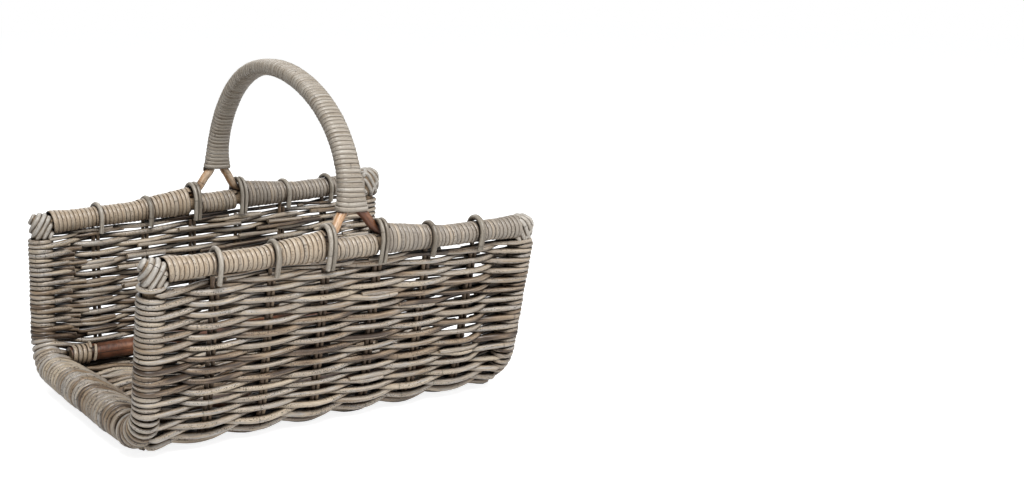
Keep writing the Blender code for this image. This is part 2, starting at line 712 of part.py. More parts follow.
def build():
    """Model the whole basket."""
    clear_scene()
    peeled = material("peeled pole", (0.36, 0.25, 0.15), 0.7)
    bark = material("bark pole", (0.16, 0.06, 0.03), 0.6)
    rod = material("unpeeled rod", (0.30, 0.25, 0.19), 0.75)
    stake_rod = material("stake rod", (0.26, 0.22, 0.17), 0.75)
    pale = material("pale winding", (0.45, 0.38, 0.28), 0.6)
    grey = material("grey winding", (0.38, 0.34, 0.27), 0.65)
    honey = material("honey cane", (0.42, 0.22, 0.09), 0.5)
    steel = material("nail steel", (0.35, 0.34, 0.33), 0.4)

    frames = {-1: end_frame("left_end_frame", -1, peeled)}
    frames[1] = end_frame("right_end_frame", 1, peeled)
    rails = {-1: rail("front_rail", -1, peeled), 1: rail("back_rail", 1, peeled)}
    for side, label in ((-1, "front"), (1, "back")):
        for side_x, hand in ((-1, "left"), (1, "right")):
            corner(f"{label}_{hand}", side, side_x, frames[side_x], rails[side], grey, steel)
        pole(label + "_base_pole", *base_pole_axis(side), BASE_POLE_RADIUS, bark)
        rail_windings(label, side, pale)
    bindings(pale)
    for number, x in enumerate(STAKE_PLACES):
        stake_pair(number + 1, x, stake_rod)
    handle_cane("handle_cane_left", -1, honey)
    handle_cane("handle_cane_right", 1, honey)
    handle_winding("handle_winding_front", math.pi, math.pi / 2, grey)
    handle_winding("handle_winding_back", math.pi / 2, 0, grey)
    woven = weave(rod)
    stand_flat([piece for piece in woven if "wall" not in piece.name])


build()
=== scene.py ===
# %% [markdown]
# # A woven rattan carrying basket
# The real basket is a trough, open at both ends: two poles bent to a U stand at its ends, two
# straight rails join their tops, pairs of stakes hang from rail to rail, and long rods are woven
# round the stakes. A handle of two canes is wound with split cane. Everything hand woven follows a
# rule, so most of this lesson is about turning a rule into paths, and paths into rods.

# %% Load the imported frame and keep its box
import math
import random

import bmesh
import bpy
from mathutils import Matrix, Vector, noise


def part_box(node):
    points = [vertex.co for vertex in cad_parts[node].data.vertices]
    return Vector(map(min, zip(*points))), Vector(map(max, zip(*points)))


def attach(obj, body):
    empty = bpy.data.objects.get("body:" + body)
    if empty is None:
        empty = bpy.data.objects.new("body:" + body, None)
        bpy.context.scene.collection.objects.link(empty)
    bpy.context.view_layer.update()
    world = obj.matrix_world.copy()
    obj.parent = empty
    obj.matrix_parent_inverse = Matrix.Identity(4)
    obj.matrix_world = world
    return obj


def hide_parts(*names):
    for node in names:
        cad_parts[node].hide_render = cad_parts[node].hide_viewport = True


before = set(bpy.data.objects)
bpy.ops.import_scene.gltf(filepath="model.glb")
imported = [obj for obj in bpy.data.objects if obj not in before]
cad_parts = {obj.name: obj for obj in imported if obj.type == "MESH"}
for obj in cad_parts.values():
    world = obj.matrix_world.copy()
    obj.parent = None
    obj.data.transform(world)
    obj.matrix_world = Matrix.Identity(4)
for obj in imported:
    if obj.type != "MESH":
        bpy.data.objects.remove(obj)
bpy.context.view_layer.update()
print("CAD nodes:", len(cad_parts))

# %% [markdown]
# The sizes are in metres. Most are those of the solid model; a few rods are a little thinner or
# thicker than its solids, because it shows a run of rows as one body. X runs along the basket, Y
# from the front wall to the back wall, Z up. A side is -1 for the front and 1 for the back, and a
# hand is -1 for the left and 1 for the right. Each size is named once, so that every later path
# runs on the same surfaces.

# %% Sizes of the basket
FRAME_LENGTH = 0.514
BASE_WIDTH = 0.3257
RAIL_HEIGHT = 0.2251
HANDLE_HEIGHT = 0.4212
LEANS = {-1: math.radians(8.6), 1: math.radians(-1.5)}
BACK_RAIL_TILT = 0.008
RAIL_RADIUS = 0.0090
BASE_POLE_RADIUS = 0.0115
CANE_RADIUS = 0.00525
STAKE_RADIUS = 0.0028
ROD_RADIUS = 0.0037
FRAME_CORNER_RADIUS = 0.045
FRAME_BAR_HEIGHT = 0.0260
BASKET_CORNER_RADIUS = 0.031
FLOOR_HEIGHT = 0.0117
STAKE_SPACING = 0.0723
STAKE_PAIRS = 6
PAIR_SPACING = 0.0060
WALL_TOP_DROP = 0.0220
HALF_LENGTH = FRAME_LENGTH / 2
MIDDLE_SHIFT = RAIL_HEIGHT * (math.tan(LEANS[-1]) - math.tan(LEANS[1])) / 2
STAKE_PLACES = [(i - (STAKE_PAIRS - 1) / 2) * STAKE_SPACING for i in range(STAKE_PAIRS)]
LEG_PLACE = STAKE_SPACING / 2
SIDES = ((-1, "front"), (1, "back"))
HANDS = ((-1, "left"), (1, "right"))
print("stakes at", [round(x, 3) for x in STAKE_PLACES])

# %% [markdown]
# The camera stands where the photographer stood: a little left of the front and slightly above.
# Its shift puts the basket left of the middle of the picture, as in the photograph. With the same
# lens and the same place, the two pictures can be compared line by line.

# %% Camera
CAMERA_AZIMUTH = math.radians(-30.386)
CAMERA_ELEVATION = math.radians(11.778)
CAMERA_DISTANCE = 1.5883
CAMERA_RIGHT = 0.01861
CAMERA_UP = -0.04595
CAMERA_AIM_HEIGHT = 0.24316
CAMERA_AIM_DEPTH = 0.01908
SENSOR_WIDTH = 36
PICTURE_WIDTH = 1024
FOCAL_PIXELS = 1223.3
BASKET_CENTRE_PIXEL = 285


def in_scene(name, data):
    """A new object in the scene."""
    made = bpy.data.objects.new(name, data)
    bpy.context.scene.collection.objects.link(made)
    return made


def aimed(name, data, place, way):
    """A new camera or lamp at a place, looking along a way."""
    made = in_scene(name, data)
    made.location = place
    made.rotation_mode = "QUATERNION"
    made.rotation_quaternion = way.to_track_quat("-Z", "Y")
    return made


level = math.cos(CAMERA_ELEVATION)
back = Vector((math.sin(CAMERA_AZIMUTH) * level, -math.cos(CAMERA_AZIMUTH) * level,
               math.sin(CAMERA_ELEVATION)))
right = Vector((math.cos(CAMERA_AZIMUTH), math.sin(CAMERA_AZIMUTH), 0))
place = (back * CAMERA_DISTANCE + right * CAMERA_RIGHT + back.cross(right) * CAMERA_UP
         + Vector((0, CAMERA_AIM_DEPTH, CAMERA_AIM_HEIGHT)))
lens = bpy.data.cameras.new("camera")
lens.sensor_width = SENSOR_WIDTH
lens.lens = SENSOR_WIDTH * FOCAL_PIXELS / PICTURE_WIDTH
lens.shift_x = (PICTURE_WIDTH / 2 - BASKET_CENTRE_PIXEL) / PICTURE_WIDTH
bpy.context.scene.camera = aimed("camera", lens, place, -back)
print("lens", round(lens.lens, 2), "mm")

# %% [markdown]
# The sky, the finishes and the rods are all trees of nodes. The helpers below add a node and wire
# it in one call, so that each tree reads like a recipe. Nodes could also be joined by hand in the
# editor, but a script can be read, repeated and changed in one place.

# %% Helpers for node trees


def fill(tree, node, links):
    """Give each named input of a node its value, or wire it."""
    for key, value in dict(links).items():
        if isinstance(value, bpy.types.NodeSocket):
            tree.links.new(value, node.inputs[key])
        else:
            node.inputs[key].default_value = value


def add(tree, kind, links=(), **settings):
    """Add a node, give it its settings, fill its inputs and return its outputs."""
    made = tree.nodes.new(kind)
    for key, value in settings.items():
        setattr(made, key, value)
    fill(tree, made, links)
    return made.outputs


def maths(tree, operation, *values):
    """The result of a Math node."""
    return add(tree, "ShaderNodeMath", enumerate(values), operation=operation)[0]


def vectors(tree, operation, *values, **named):
    """The result of a Vector Math node."""
    return add(tree, "ShaderNodeVectorMath", {**dict(enumerate(values)), **named},
               operation=operation)[0]


# %% [markdown]
# Soft studio light, as for a picture in a catalogue: a large lamp above on the left, weaker ones
# on the right and behind, and an even sky. Rays that show the background get plain white instead
# of the sky, so that the sky can be weak and the background still be white.

# %% Lamps and sky
LAMP_TARGET = Vector((0, 0, 0.15))
LAMPS = {"key_lamp": ((-0.42, -1.35, 2.3), 1.2, 84), "fill_lamp": ((1.5, -1.6, 0.8), 1.4, 13),
         "back_lamp": ((0.5, 1.8, 1.5), 1.4, 16)}
SKY_STRENGTH = 0.28
SKY_COLOUR = (0.97, 0.985, 1.0, 1)
WHITE = (1, 1, 1, 1)


def emptied(owner):
    """The node tree of a world or a material, without nodes."""
    owner.use_nodes = True
    owner.node_tree.nodes.clear()
    return owner.node_tree


def white_for_camera(tree, lit, plain):
    """Mix two shaders: the plain one for rays that show the background."""
    path = add(tree, "ShaderNodeLightPath")
    seen = maths(tree, "MAXIMUM", path["Is Camera Ray"], path["Is Transmission Ray"])
    return add(tree, "ShaderNodeMixShader", {0: seen, 1: lit, 2: plain})[0]


for name, (place, size, power) in LAMPS.items():
    lamp = bpy.data.lights.new(name, "AREA")
    lamp.size = size
    lamp.energy = power
    aimed(name, lamp, place, LAMP_TARGET - Vector(place))

world = bpy.data.worlds.new("studio")
bpy.context.scene.world = world
tree = emptied(world)
sky = add(tree, "ShaderNodeBackground", {"Color": SKY_COLOUR, "Strength": SKY_STRENGTH})[0]
paper = add(tree, "ShaderNodeBackground", {"Color": WHITE, "Strength": 1})[0]
add(tree, "ShaderNodeOutputWorld", {"Surface": white_for_camera(tree, sky, paper)})
print("lamps:", list(LAMPS))

# %% [markdown]
# The floor is white paper. It answers camera rays with light of its own: its glow and what the sky
# adds make white together, so that it meets the background without a seam and still keeps a faint
# shadow under the basket.

# %% The floor
FLOOR_SHARE = 0.5
FLOOR_GREY = 0.8
FLOOR_REACH = 12
FLOOR_PLACE = -0.0020

floor_finish = bpy.data.materials.new("white paper floor")
tree = emptied(floor_finish)
lit = add(tree, "ShaderNodeBsdfDiffuse", {"Color": (FLOOR_GREY, FLOOR_GREY, FLOOR_GREY, 1)})[0]
soft = add(tree, "ShaderNodeBsdfDiffuse", {"Color": (FLOOR_SHARE, FLOOR_SHARE, FLOOR_SHARE, 1)})[0]
glow = add(tree, "ShaderNodeEmission", {"Strength": 1 - FLOOR_SHARE * SKY_STRENGTH})[0]
shown = add(tree, "ShaderNodeAddShader", {0: soft, 1: glow})[0]
add(tree, "ShaderNodeOutputMaterial", {"Surface": white_for_camera(tree, lit, shown)})

floor_mesh = bpy.data.meshes.new("floor")
floor_mesh.from_pydata([(x * FLOOR_REACH, y * FLOOR_REACH, 0)
                        for x, y in ((-1, -1), (1, -1), (1, 1), (-1, 1))], [], [(0, 1, 2, 3)])
floor_mesh.materials.append(floor_finish)
floor = in_scene("floor", floor_mesh)
floor.location.z = FLOOR_PLACE
bpy.context.scene.view_settings.view_transform = "Standard"
print("floor at Z", FLOOR_PLACE)

# %% [markdown]
# The woven shell is a U shaped section swept along X. In the middle of the basket the section is
# that of the stakes, and at both ends it is that of the bent frame, which has a larger bend and
# stands a little higher. Measuring both sections by their length lets a row keep its place in the
# weave while the shell changes from one to the other.

# %% Walls and rails


def wall_y(side, height):
    """Y of the middle of a wall at a height."""
    return side * (BASE_WIDTH / 2 + height * math.tan(LEANS[side])) + MIDDLE_SHIFT


def wall_up(side):
    """Unit vector up the slope of a wall."""
    return Vector((0, side * math.sin(LEANS[side]), math.cos(LEANS[side])))


def wall_out(side):
    """Unit vector out of a wall."""
    return Vector((0, side * math.cos(LEANS[side]), -math.sin(LEANS[side])))


def rail_point(side, x):
    """A point on a rail's axis."""
    tilt = BACK_RAIL_TILT * x / HALF_LENGTH if side > 0 else 0
    return Vector((x, wall_y(side, RAIL_HEIGHT), RAIL_HEIGHT + tilt))


print("rails at Y", [round(wall_y(side, RAIL_HEIGHT), 4) for side in (-1, 1)])

# %% The two sections
SECTION_SAMPLES = 60


def section_samples(level, radius):
    """Points, outward normals and running lengths of a section, front top to back top."""
    points = []
    normals = []
    for side in (-1, 1):
        reach = radius * math.tan((math.pi / 2 - LEANS[side]) / 2)
        centre = Vector((0, wall_y(side, level) - side * reach, level + radius))
        start = math.pi + LEANS[side] if side < 0 else 2 * math.pi - LEANS[side]
        angles = [start + (1.5 * math.pi - start) * i / SECTION_SAMPLES
                  for i in range(SECTION_SAMPLES + 1)]
        arc = [Vector((0, math.cos(a), math.sin(a))) for a in angles]
        top_height = RAIL_HEIGHT - WALL_TOP_DROP
        line = [Vector((0, wall_y(side, top_height), top_height))]
        line += [centre + n * radius for n in arc]
        if side > 0:
            line.reverse()
            arc.reverse()
        points += line
        normals += [arc[0]] + arc if side < 0 else arc + [arc[-1]]
    lengths = [0]
    for one, two in zip(points, points[1:]):
        lengths.append(lengths[-1] + (two - one).length)
    return points, normals, lengths


def on_section(samples, share):
    """Point and outward normal at a share of a section's whole length."""
    points, normals, lengths = samples
    want = share * lengths[-1]
    i = 0
    while i < len(lengths) - 2 and lengths[i + 1] < want:
        i += 1
    part = (want - lengths[i]) / (lengths[i + 1] - lengths[i])
    return points[i].lerp(points[i + 1], part), normals[i].lerp(normals[i + 1], part).normalized()


MIDDLE_SECTION = section_samples(FLOOR_HEIGHT, BASKET_CORNER_RADIUS)
END_SECTION = section_samples(FRAME_BAR_HEIGHT, FRAME_CORNER_RADIUS)
SECTION_LENGTH = MIDDLE_SECTION[2][-1]
WALL_LENGTHS = (MIDDLE_SECTION[2][1], SECTION_LENGTH - MIDDLE_SECTION[2][-2])
print("section", round(SECTION_LENGTH, 4), "m, walls", [round(w, 4) for w in WALL_LENGTHS])

# %% The shell between the sections
BLEND_START = STAKE_PLACES[-1] + PAIR_SPACING / 2 + STAKE_RADIUS
FOOT_PULL = 0.0080


def smooth(share):
    """A share from 0 to 1, eased at both ends."""
    share = min(max(share, 0), 1)
    return share * share * (3 - 2 * share)


def shell(share, x, out, low=False):
    """A point of the shell at a share of the section, a place along X and a distance outside.

    A low point keeps to the middle section right out to the ends."""
    blend = 0 if low else smooth((abs(x) - BLEND_START) / (HALF_LENGTH - BLEND_START))
    inner, inner_normal = on_section(MIDDLE_SECTION, share)
    outer, outer_normal = on_section(END_SECTION, share)
    normal = inner_normal.lerp(outer_normal, blend).normalized()
    wall_share = 1 - (1 - share) * SECTION_LENGTH / WALL_LENGTHS[1]
    rise = BACK_RAIL_TILT * x / HALF_LENGTH * max(wall_share, 0)
    place = inner.lerp(outer, blend)
    pull = FOOT_PULL * max(x, 0) / HALF_LENGTH * (1 - place.z / RAIL_HEIGHT)
    return place + normal * out + Vector((x - pull, 0, rise))


print("top of the shell at the left front:", [round(c, 4) for c in shell(0, -HALF_LENGTH, 0)])

# %% [markdown]
# Geometry Nodes turn paths into rods. A tree has named inputs for its sizes, so that one tree can
# make rods of every kind. It sweeps a ring along curves and ends with realized instances and a
# material, because an export drops what is only an instance. A curve with a bevel could make one
# rod, but a tree makes hundreds at once and stores values for their finish.

# %% Helpers for trees of shapes


def shape_tree(name, sizes):
    """A geometry tree with a mesh going in and out, and one named input for each size."""
    tree = bpy.data.node_groups.new(name, "GeometryNodeTree")
    for label, way, kind in [("Geometry", "INPUT", "Geometry"), ("Geometry", "OUTPUT", "Geometry"),
                             *[(label, "INPUT", kind) for label, kind in sizes.items()]]:
        tree.interface.new_socket(label, in_out=way, socket_type="NodeSocket" + kind)
    return tree, tree.nodes.new("NodeGroupInput").outputs, tree.nodes.new("NodeGroupOutput").inputs


def attribute(tree, name, kind="FLOAT"):
    """The value of a named attribute."""
    return add(tree, "GeometryNodeInputNamedAttribute", {"Name": name}, data_type=kind)[0]


def store(tree, geometry, name, value, kind="FLOAT"):
    """Keep a value on the points under a name."""
    return add(tree, "GeometryNodeStoreNamedAttribute",
               {"Geometry": geometry, "Name": name, "Value": value},
               data_type=kind, domain="POINT")[0]


def stepped(tree, curve, step):
    """The curve with a point at every step."""
    return add(tree, "GeometryNodeResampleCurve", {"Curve": curve, "Length": step}, mode="LENGTH")[0]


def moved(tree, curve, offset):
    """The curve moved aside, with the length along it kept for the finish; and that length."""
    curve = add(tree, "GeometryNodeSetPosition", {"Geometry": curve, "Offset": offset})[0]
    length = add(tree, "GeometryNodeSplineParameter")["Length"]
    return store(tree, curve, "along", length), length


def swing_about_one(tree, value, amount):
    """A factor near one that follows a noise between 0 and 1."""
    return maths(tree, "MULTIPLY_ADD", maths(tree, "SUBTRACT", value, 0.5), amount, 1.0)


def sweep(tree, out, curve, thickness, sides, finish, half_size=None):
    """End a tree: sweep a ring along the curve, smooth, realize the instances, set the material."""
    ring = add(tree, "GeometryNodeCurvePrimitiveCircle", {"Resolution": sides, "Radius": 1.0})[0]
    ring = store(tree, ring, "around", add(tree, "GeometryNodeSplineParameter")["Factor"])
    if half_size is not None:
        ring = add(tree, "GeometryNodeTransform", {"Geometry": ring, "Scale": half_size})[0]
    mesh = add(tree, "GeometryNodeCurveToMesh", {"Curve": curve, "Profile Curve": ring,
                                                 "Scale": thickness, "Fill Caps": True})[0]
    mesh = add(tree, "GeometryNodeSetShadeSmooth", {"Geometry": mesh})[0]
    mesh = add(tree, "GeometryNodeRealizeInstances", {"Geometry": mesh})[0]
    mesh = add(tree, "GeometryNodeSetMaterial", {"Geometry": mesh, "Material": finish})[0]
    tree.links.new(mesh, out["Geometry"])
    return tree


# %% [markdown]
# To run a tree, the paths go in as a mesh of bare edges whose points carry a thickness and a tint.
# The inputs are set by the socket's identifier before the object is first evaluated. The result
# becomes a plain mesh, and the object with the modifier is thrown away.

# %% From paths to a piece


def grow(name, base, tree, values):
    """Run a tree on a mesh of paths and return the result as a plain mesh object."""
    source = in_scene(name + "_paths", base)
    modifier = source.modifiers.new("tree", "NODES")
    modifier.node_group = tree
    for item in tree.interface.items_tree:
        if item.in_out == "INPUT" and item.name in values:
            modifier[item.identifier] = values[item.name]
    seen = source.evaluated_get(bpy.context.evaluated_depsgraph_get())
    mesh = bpy.data.meshes.new_from_object(seen)
    mesh.name = name
    bpy.data.objects.remove(source, do_unlink=True)
    print(name, len(mesh.polygons), "faces")
    return in_scene(name, mesh)


def path_mesh(name, paths, **columns):
    """A mesh of open polylines. A path is (points, thickness, tint); columns add vector data."""
    mesh = bpy.data.meshes.new(name)
    points = []
    edges = []
    thickness = []
    tints = []
    for path, radius, tint in paths:
        edges += [(len(points) + i, len(points) + i + 1) for i in range(len(path) - 1)]
        points += path
        thickness += radius if isinstance(radius, list) else [radius] * len(path)
        tints += [tint] * len(path)
    mesh.from_pydata([tuple(p) for p in points], edges, [])
    for label, values in (("thickness", thickness), ("tint", tints)):
        mesh.attributes.new(label, "FLOAT", "POINT").data.foreach_set("value", values)
    for label, values in columns.items():
        flat = [c for v in values for c in v]
        mesh.attributes.new(label, "FLOAT_VECTOR", "POINT").data.foreach_set("vector", flat)
    return mesh


def settle(piece, slot, *solids):
    """A piece rides on the basket and may stand for solids of the model; the slot is not used."""
    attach(piece, "root")
    if solids:
        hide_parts(*solids)


# %% [markdown]
# A rod tree: every path becomes a smooth spline, wanders a little as a real rod does, and is swept
# with a round section whose thickness changes along it. The tree stores how far along and how far
# round each point is, and the material reads that to lay bark along the rod.

# %% The rod tree
TINT_SPREAD = 97.0
UNEVEN_SCALE = 90.0
WANDER_LENGTH = 0.05


def make_rod_tree():
    """Geometry Nodes: paths with a thickness and a tint become uneven round rods."""
    tree, given, out = shape_tree("Rods along paths", {
        "Step": "Float", "Sides": "Int", "Wander": "Float", "Wander Length": "Float",
        "Unevenness": "Float", "Seed": "Int", "Finish": "Material"})
    curve = add(tree, "GeometryNodeMeshToCurve", {"Mesh": given["Geometry"]})[0]
    curve = add(tree, "GeometryNodeCurveSplineType", {"Curve": curve}, spline_type="CATMULL_ROM")[0]
    curve = stepped(tree, curve, given["Step"])
    place = add(tree, "GeometryNodeInputPosition")[0]
    own = maths(tree, "MULTIPLY_ADD", attribute(tree, "tint"), TINT_SPREAD, given["Seed"])

    def rod_noise(scale, detail):
        """Noise in space that differs from rod to rod."""
        return add(tree, "ShaderNodeTexNoise", {"Vector": place, "W": own, "Scale": scale,
                                                "Detail": detail}, noise_dimensions="4D")

    scale = maths(tree, "DIVIDE", 1.0, given["Wander Length"])
    shift = vectors(tree, "SUBTRACT", rod_noise(scale, 1.0)["Color"], (0.5, 0.5, 0.5))
    shift = vectors(tree, "SCALE", shift, Scale=maths(tree, "MULTIPLY", given["Wander"], 2.0))
    curve, length = moved(tree, curve, shift)
    whole = add(tree, "GeometryNodeSplineLength")["Length"]
    to_end = maths(tree, "MINIMUM", length, maths(tree, "SUBTRACT", whole, length))
    curve = store(tree, curve, "to_end", to_end)
    swing = swing_about_one(tree, rod_noise(UNEVEN_SCALE, 2.0)["Fac"], given["Unevenness"])
    thick = maths(tree, "MULTIPLY", swing, attribute(tree, "thickness"))
    return sweep(tree, out, curve, thick, given["Sides"], given["Finish"])


ROD_TREE = make_rod_tree()
print("nodes in the rod tree:", len(ROD_TREE.nodes))


def rods(name, paths, finish, seed, step=0.0045, sides=8, wander=0.0004, unevenness=0.25):
    """Grow round rods along paths."""
    return grow(name, path_mesh(name, paths), ROD_TREE, {
        "Step": step, "Sides": sides, "Wander": wander, "Wander Length": WANDER_LENGTH,
        "Unevenness": unevenness, "Seed": seed, "Finish": finish})


# %% [markdown]
# A winding tree: a strand of split cane runs round a core. Each point of the core's axis carries
# the way to its side, the way up, and half its width and height there. The tree steps along the
# axis, turns one loop for each pitch, and sweeps a flat, crowned section whose back lies on the
# core. The loops could be worked out point by point in Python; in a tree, pitch and width stay
# inputs that can be tried out.

# %% The winding tree
STRAND_SIDES = 8
LOOP_NOISE_SCALE = 1.3
WINDING_TINTS = (0.30, 0.60, 0.95)


def make_winding_tree():
    """Geometry Nodes: a strand is wound round a core that may be bent and may change in size."""
    tree, given, out = shape_tree("Strand wound round a core", {
        "Pitch": "Float", "Points per Loop": "Int", "Strand Width": "Float",
        "Strand Thickness": "Float", "Squareness": "Float", "Unevenness": "Float",
        "Seed": "Int", "Finish": "Material"})
    curve = add(tree, "GeometryNodeMeshToCurve", {"Mesh": given["Geometry"]})[0]
    curve = stepped(tree, curve, maths(tree, "DIVIDE", given["Pitch"], given["Points per Loop"]))
    index = add(tree, "GeometryNodeInputIndex")[0]
    loops = maths(tree, "DIVIDE", index, given["Points per Loop"])
    angle = maths(tree, "MULTIPLY", loops, 2 * math.pi)
    own = maths(tree, "ADD", loops, given["Seed"])
    jitter = add(tree, "ShaderNodeTexNoise", {"W": own, "Scale": LOOP_NOISE_SCALE, "Detail": 2.0},
                 noise_dimensions="1D")["Fac"]
    swing = swing_about_one(tree, jitter, given["Unevenness"])
    proud = maths(tree, "MULTIPLY", given["Strand Thickness"], 0.5)
    halves = add(tree, "ShaderNodeSeparateXYZ", {0: attribute(tree, "half_size", "FLOAT_VECTOR")})
    offsets = []
    ways = []
    for name, operation, half in (("side", "COSINE", halves[0]), ("up", "SINE", halves[1])):
        way = attribute(tree, name, "FLOAT_VECTOR")
        turned = maths(tree, operation, angle)
        size = maths(tree, "POWER", maths(tree, "ABSOLUTE", turned), given["Squareness"])
        squared = maths(tree, "MULTIPLY", maths(tree, "SIGN", turned), size)
        reach = maths(tree, "MULTIPLY", maths(tree, "ADD", half, proud), swing)
        offsets.append(vectors(tree, "SCALE", way, Scale=maths(tree, "MULTIPLY", squared, reach)))
        ways.append(vectors(tree, "SCALE", way, Scale=turned))
    outward = vectors(tree, "NORMALIZE", vectors(tree, "ADD", *ways))
    curve = store(tree, curve, "outward", outward, "FLOAT_VECTOR")
    curve, _ = moved(tree, curve, vectors(tree, "ADD", *offsets))
    curve = add(tree, "GeometryNodeSetCurveNormal",
                {"Curve": curve, "Normal": attribute(tree, "outward", "FLOAT_VECTOR")},
                mode="FREE")[0]
    half_size = add(tree, "ShaderNodeCombineXYZ", {
        "X": proud, "Y": maths(tree, "MULTIPLY", given["Strand Width"], 0.5), "Z": 1.0})[0]
    return sweep(tree, out, curve, swing, STRAND_SIDES, given["Finish"], half_size)


WINDING_TREE = make_winding_tree()
print("nodes in the winding tree:", len(WINDING_TREE.nodes))


def winding(name, stretches, finish, pitch, width, thickness, squareness=1.0, unevenness=0.06,
            points_per_loop=22, seed=0):
    """Wind strands round cores. A stretch is a list of (place, side, up, half width, half height)."""
    paths = [([p[0] for p in core], thickness, tint) for core, tint in zip(stretches, WINDING_TINTS)]
    flat = [p for core in stretches for p in core]
    mesh = path_mesh(name, paths, side=[p[1] for p in flat], up=[p[2] for p in flat],
                     half_size=[(p[3], p[4], 0) for p in flat])
    return grow(name, mesh, WINDING_TREE, {
        "Pitch": pitch, "Points per Loop": points_per_loop, "Strand Width": width,
        "Strand Thickness": thickness, "Squareness": squareness, "Unevenness": unevenness,
        "Seed": seed, "Finish": finish})


# %% [markdown]
# Rattan with its skin on is grey brown, streaked along its length, ringed with dark nodes and
# specked with lichen. The material follows the rod: it reads the length along and the share round
# that the trees stored, so that streaks turn with every bend. Each rod has its own tint. A picture
# of bark could be wrapped round the rods, but noise has no seam and doesn't repeat.

# %% Helpers for finishes


def new_finish(name):
    """A new material, its node tree and its shader."""
    made = bpy.data.materials.new(name)
    made.use_nodes = True
    return made, made.node_tree, made.node_tree.nodes["Principled BSDF"]


def ramp(tree, value, stops):
    """A colour ramp with the given (place, colour) stops."""
    made = add(tree, "ShaderNodeValToRGB", {"Fac": value})["Color"]
    elements = made.node.color_ramp.elements
    while len(elements) < len(stops):
        elements.new(0.5)
    for element, (place, colour) in zip(elements, stops):
        element.position = place
        element.color = (*colour, 1)
    return made


def blended(tree, share, one, two, mode="MIX"):
    """One colour over another by a share. A Mix node's colours go in at 6 and 7 and out at 2."""
    one, two = [(*c, 1) if isinstance(c, tuple) else c for c in (one, two)]
    return add(tree, "ShaderNodeMix", {0: share, 6: one, 7: two}, data_type="RGBA",
               blend_type=mode)[2]


# %% The finish of a rod
PATCHES = (22, 0.5, 2, 1.3)
STREAKS = (60, 2.4, 3, 7.7)
STAINS = (9, 0.9, 1, 9.1)
SPECKS = (320, 2.2, 2, 3.1)
SPECKED_AREAS = (30, 0.8, 1, 5.9)
NOISE_ROUGHNESS = 0.6
PATCH_CONTRAST = 2.2
SPECK_LIMIT = 0.575
SPECKED_AREA_LIMIT = 0.49
SPECK_DEPTH = 0.4
TINT_SHIFT = 61.7
STREAK_STOPS = [(0.30, (0.50, 0.47, 0.44)), (0.55, (1.0, 1.0, 1.0)), (0.75, (1.30, 1.30, 1.30))]
# Painted shade: colour factors read from ambient occlusion, near black where other rods lie close.
PAINTED_SHADE_STOPS = [(0.38, (0.005, 0.003, 0.002)), (0.60, (0.29, 0.23, 0.175)),
              (0.80, (0.86, 0.82, 0.78)), (0.95, (1.0, 1.0, 1.0))]
PAINTED_SHADE_REACH = 0.012
PAINTED_SHADE_SAMPLES = 6
STAIN = (0.62, 0.42, 0.22)
DARK = (0.030, 0.020, 0.013)
NODE_RING_WIDTH = 0.0022
NODE_RING_STRENGTH = 0.7
NODE_RING_SHIFT = 13.7
CUT_REACH = 0.0004
ROUGHNESS_SPAN = 0.3
SKIN_DEPTH = 0.0006


